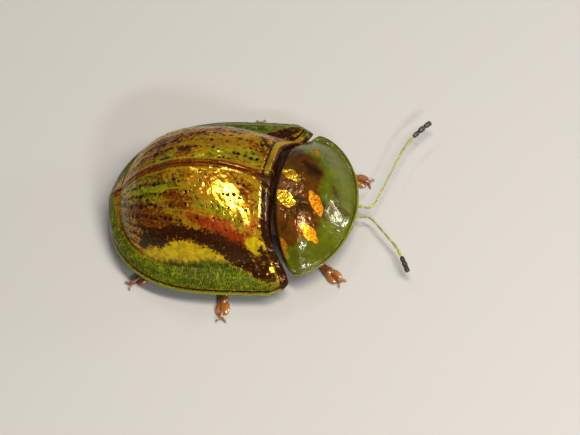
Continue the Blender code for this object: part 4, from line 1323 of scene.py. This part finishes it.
def makeFloor():
    # one large square at z = 0, pale, with the faintest cloudiness
    half = stageLook["floorSize"] / 2
    mesh = bpy.data.meshes.new("floor")
    corners = [(-half, -half, 0), (half, -half, 0), (half, half, 0), (-half, half, 0)]
    mesh.from_pydata(corners, [], [(0, 1, 2, 3)])
    floor = bpy.data.objects.new("floor", mesh)
    bpy.context.scene.collection.objects.link(floor)
    made, tree, shader = newMaterial("floor_pale", Roughness=0.7)
    cloud = objectTexture(tree, "ShaderNodeTexNoise", 40.0)
    darker = tuple(0.97 * value for value in stageLook["floorColour"])
    tree.links.new(blendColour(tree, cloud.outputs["Fac"], stageLook["floorColour"], darker),
                   shader.inputs["Base Color"])
    mesh.materials.append(made)
    floor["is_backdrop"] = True


# softboxes: direction from the beetle, distance, width and height, brightness, colour
lamps = {
    "key_strip": ((0.38, -0.20, 0.90), 0.070, (0.0075, 0.040), 58.0, (1.0, 0.96, 0.90)),
    "key_halo": ((0.40, -0.22, 0.89), 0.090, (0.045, 0.085), 2.0, (1.0, 0.74, 0.42)),
    "top_spot": ((-0.20, 0.42, 0.89), 0.070, (0.007, 0.005), 30.0, (1.0, 1.0, 1.0)),
    "sky_panel": ((-0.55, 0.55, 0.65), 0.160, (0.080, 0.080), 0.35, (1.0, 0.95, 0.86)),
    "front_strip": ((0.955, 0.26, 0.14), 0.080, (0.022, 0.006), 60.0, (0.94, 0.97, 1.0)),
    "front_near": ((0.48, -0.66, 0.58), 0.080, (0.018, 0.005), 90.0, (0.94, 0.97, 1.0)),
    "far_edge_spot": ((-0.10, 0.53, 0.84), 0.070, (0.006, 0.003), 14.0, (1.0, 0.90, 0.86)),
    "near_fill": ((0.10, -0.90, 0.35), 0.130, (0.060, 0.030), 0.35, (1.0, 0.94, 0.84)),
}


def makeLight(name, direction, distance, size, brightness, colour):
    # a softbox facing the beetle; power = brightness * pi * area, in watts
    light = bpy.data.lights.new(name, "AREA")
    light.shape = "RECTANGLE"
    light.size, light.size_y = size
    light.energy = brightness * math.pi * size[0] * size[1]
    light.color = colour
    box = bpy.data.objects.new(name, light)
    way = Vector(direction).normalized()
    box.location = Vector((0, 0, 0.001)) + way * distance
    box.rotation_mode = "QUATERNION"
    box.rotation_quaternion = way.to_track_quat("Z", "Y")
    box.visible_camera = False
    bpy.context.scene.collection.objects.link(box)


makeFloor()
for lampName, lamp in lamps.items():
    makeLight(lampName, *lamp)

world = bpy.data.worlds.new("studio")
world.use_nodes = True
background = world.node_tree.nodes["Background"]
background.inputs["Color"].default_value = (*stageLook["worldColour"], 1)
background.inputs["Strength"].default_value = stageLook["worldStrength"]
bpy.context.scene.world = world
bpy.context.scene.view_settings.view_transform = "Standard"

cameraLook = {
    "azimuth": 24.0,          # degrees round from behind -Y
    "elevation": 56.0,
    "roll": 18.5,
    "pixels": 43.2,           # of the photograph's 580 x 435, in a millimetre at the wing cases' base
    "anchorPixel": (280.0, 208.5),   # where the wing cases' base, at rim height, stands in the photograph
    "frame": (580, 435),
    "lens": 420.0,
    "sensor": 36.0,
}


def makeCamera():
    # right, up and back axes from azimuth, elevation and roll; the frame's middle is measured from the anchor
    c = cameraLook
    a, e, r = (math.radians(c[key]) for key in ("azimuth", "elevation", "roll"))
    back = Vector((math.sin(a) * math.cos(e), -math.cos(a) * math.cos(e), math.sin(e)))
    level = Vector((math.cos(a), math.sin(a), 0))
    rise = back.cross(level)
    right = level * math.cos(r) - rise * math.sin(r)
    up = level * math.sin(r) + rise * math.cos(r)
    anchor = Vector((*(shift[:2] * mm), caseShape["rimHeight"] * mm))
    offX = (c["frame"][0] / 2 - c["anchorPixel"][0]) / c["pixels"] * mm
    offY = (c["anchorPixel"][1] - c["frame"][1] / 2) / c["pixels"] * mm
    target = anchor + right * offX + up * offY
    width = c["frame"][0] / c["pixels"] * mm
    camera = bpy.data.cameras.new("camera")
    camera.lens, camera.sensor_width = c["lens"], c["sensor"]
    camera.clip_start, camera.clip_end = 0.0005, 5.0
    holder = bpy.data.objects.new("camera", camera)
    place = target + back * (width * c["lens"] / c["sensor"])
    turn = Matrix((right, up, back)).transposed()
    holder.matrix_world = Matrix.Translation(place) @ turn.to_4x4()
    bpy.context.scene.collection.objects.link(holder)
    bpy.context.scene.camera = holder


makeCamera()
print("stage, lights and camera made")

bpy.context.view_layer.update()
triangles = sum(len(face.vertices) - 2 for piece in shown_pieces() for face in piece.data.polygons)
print("triangles shown:", triangles)
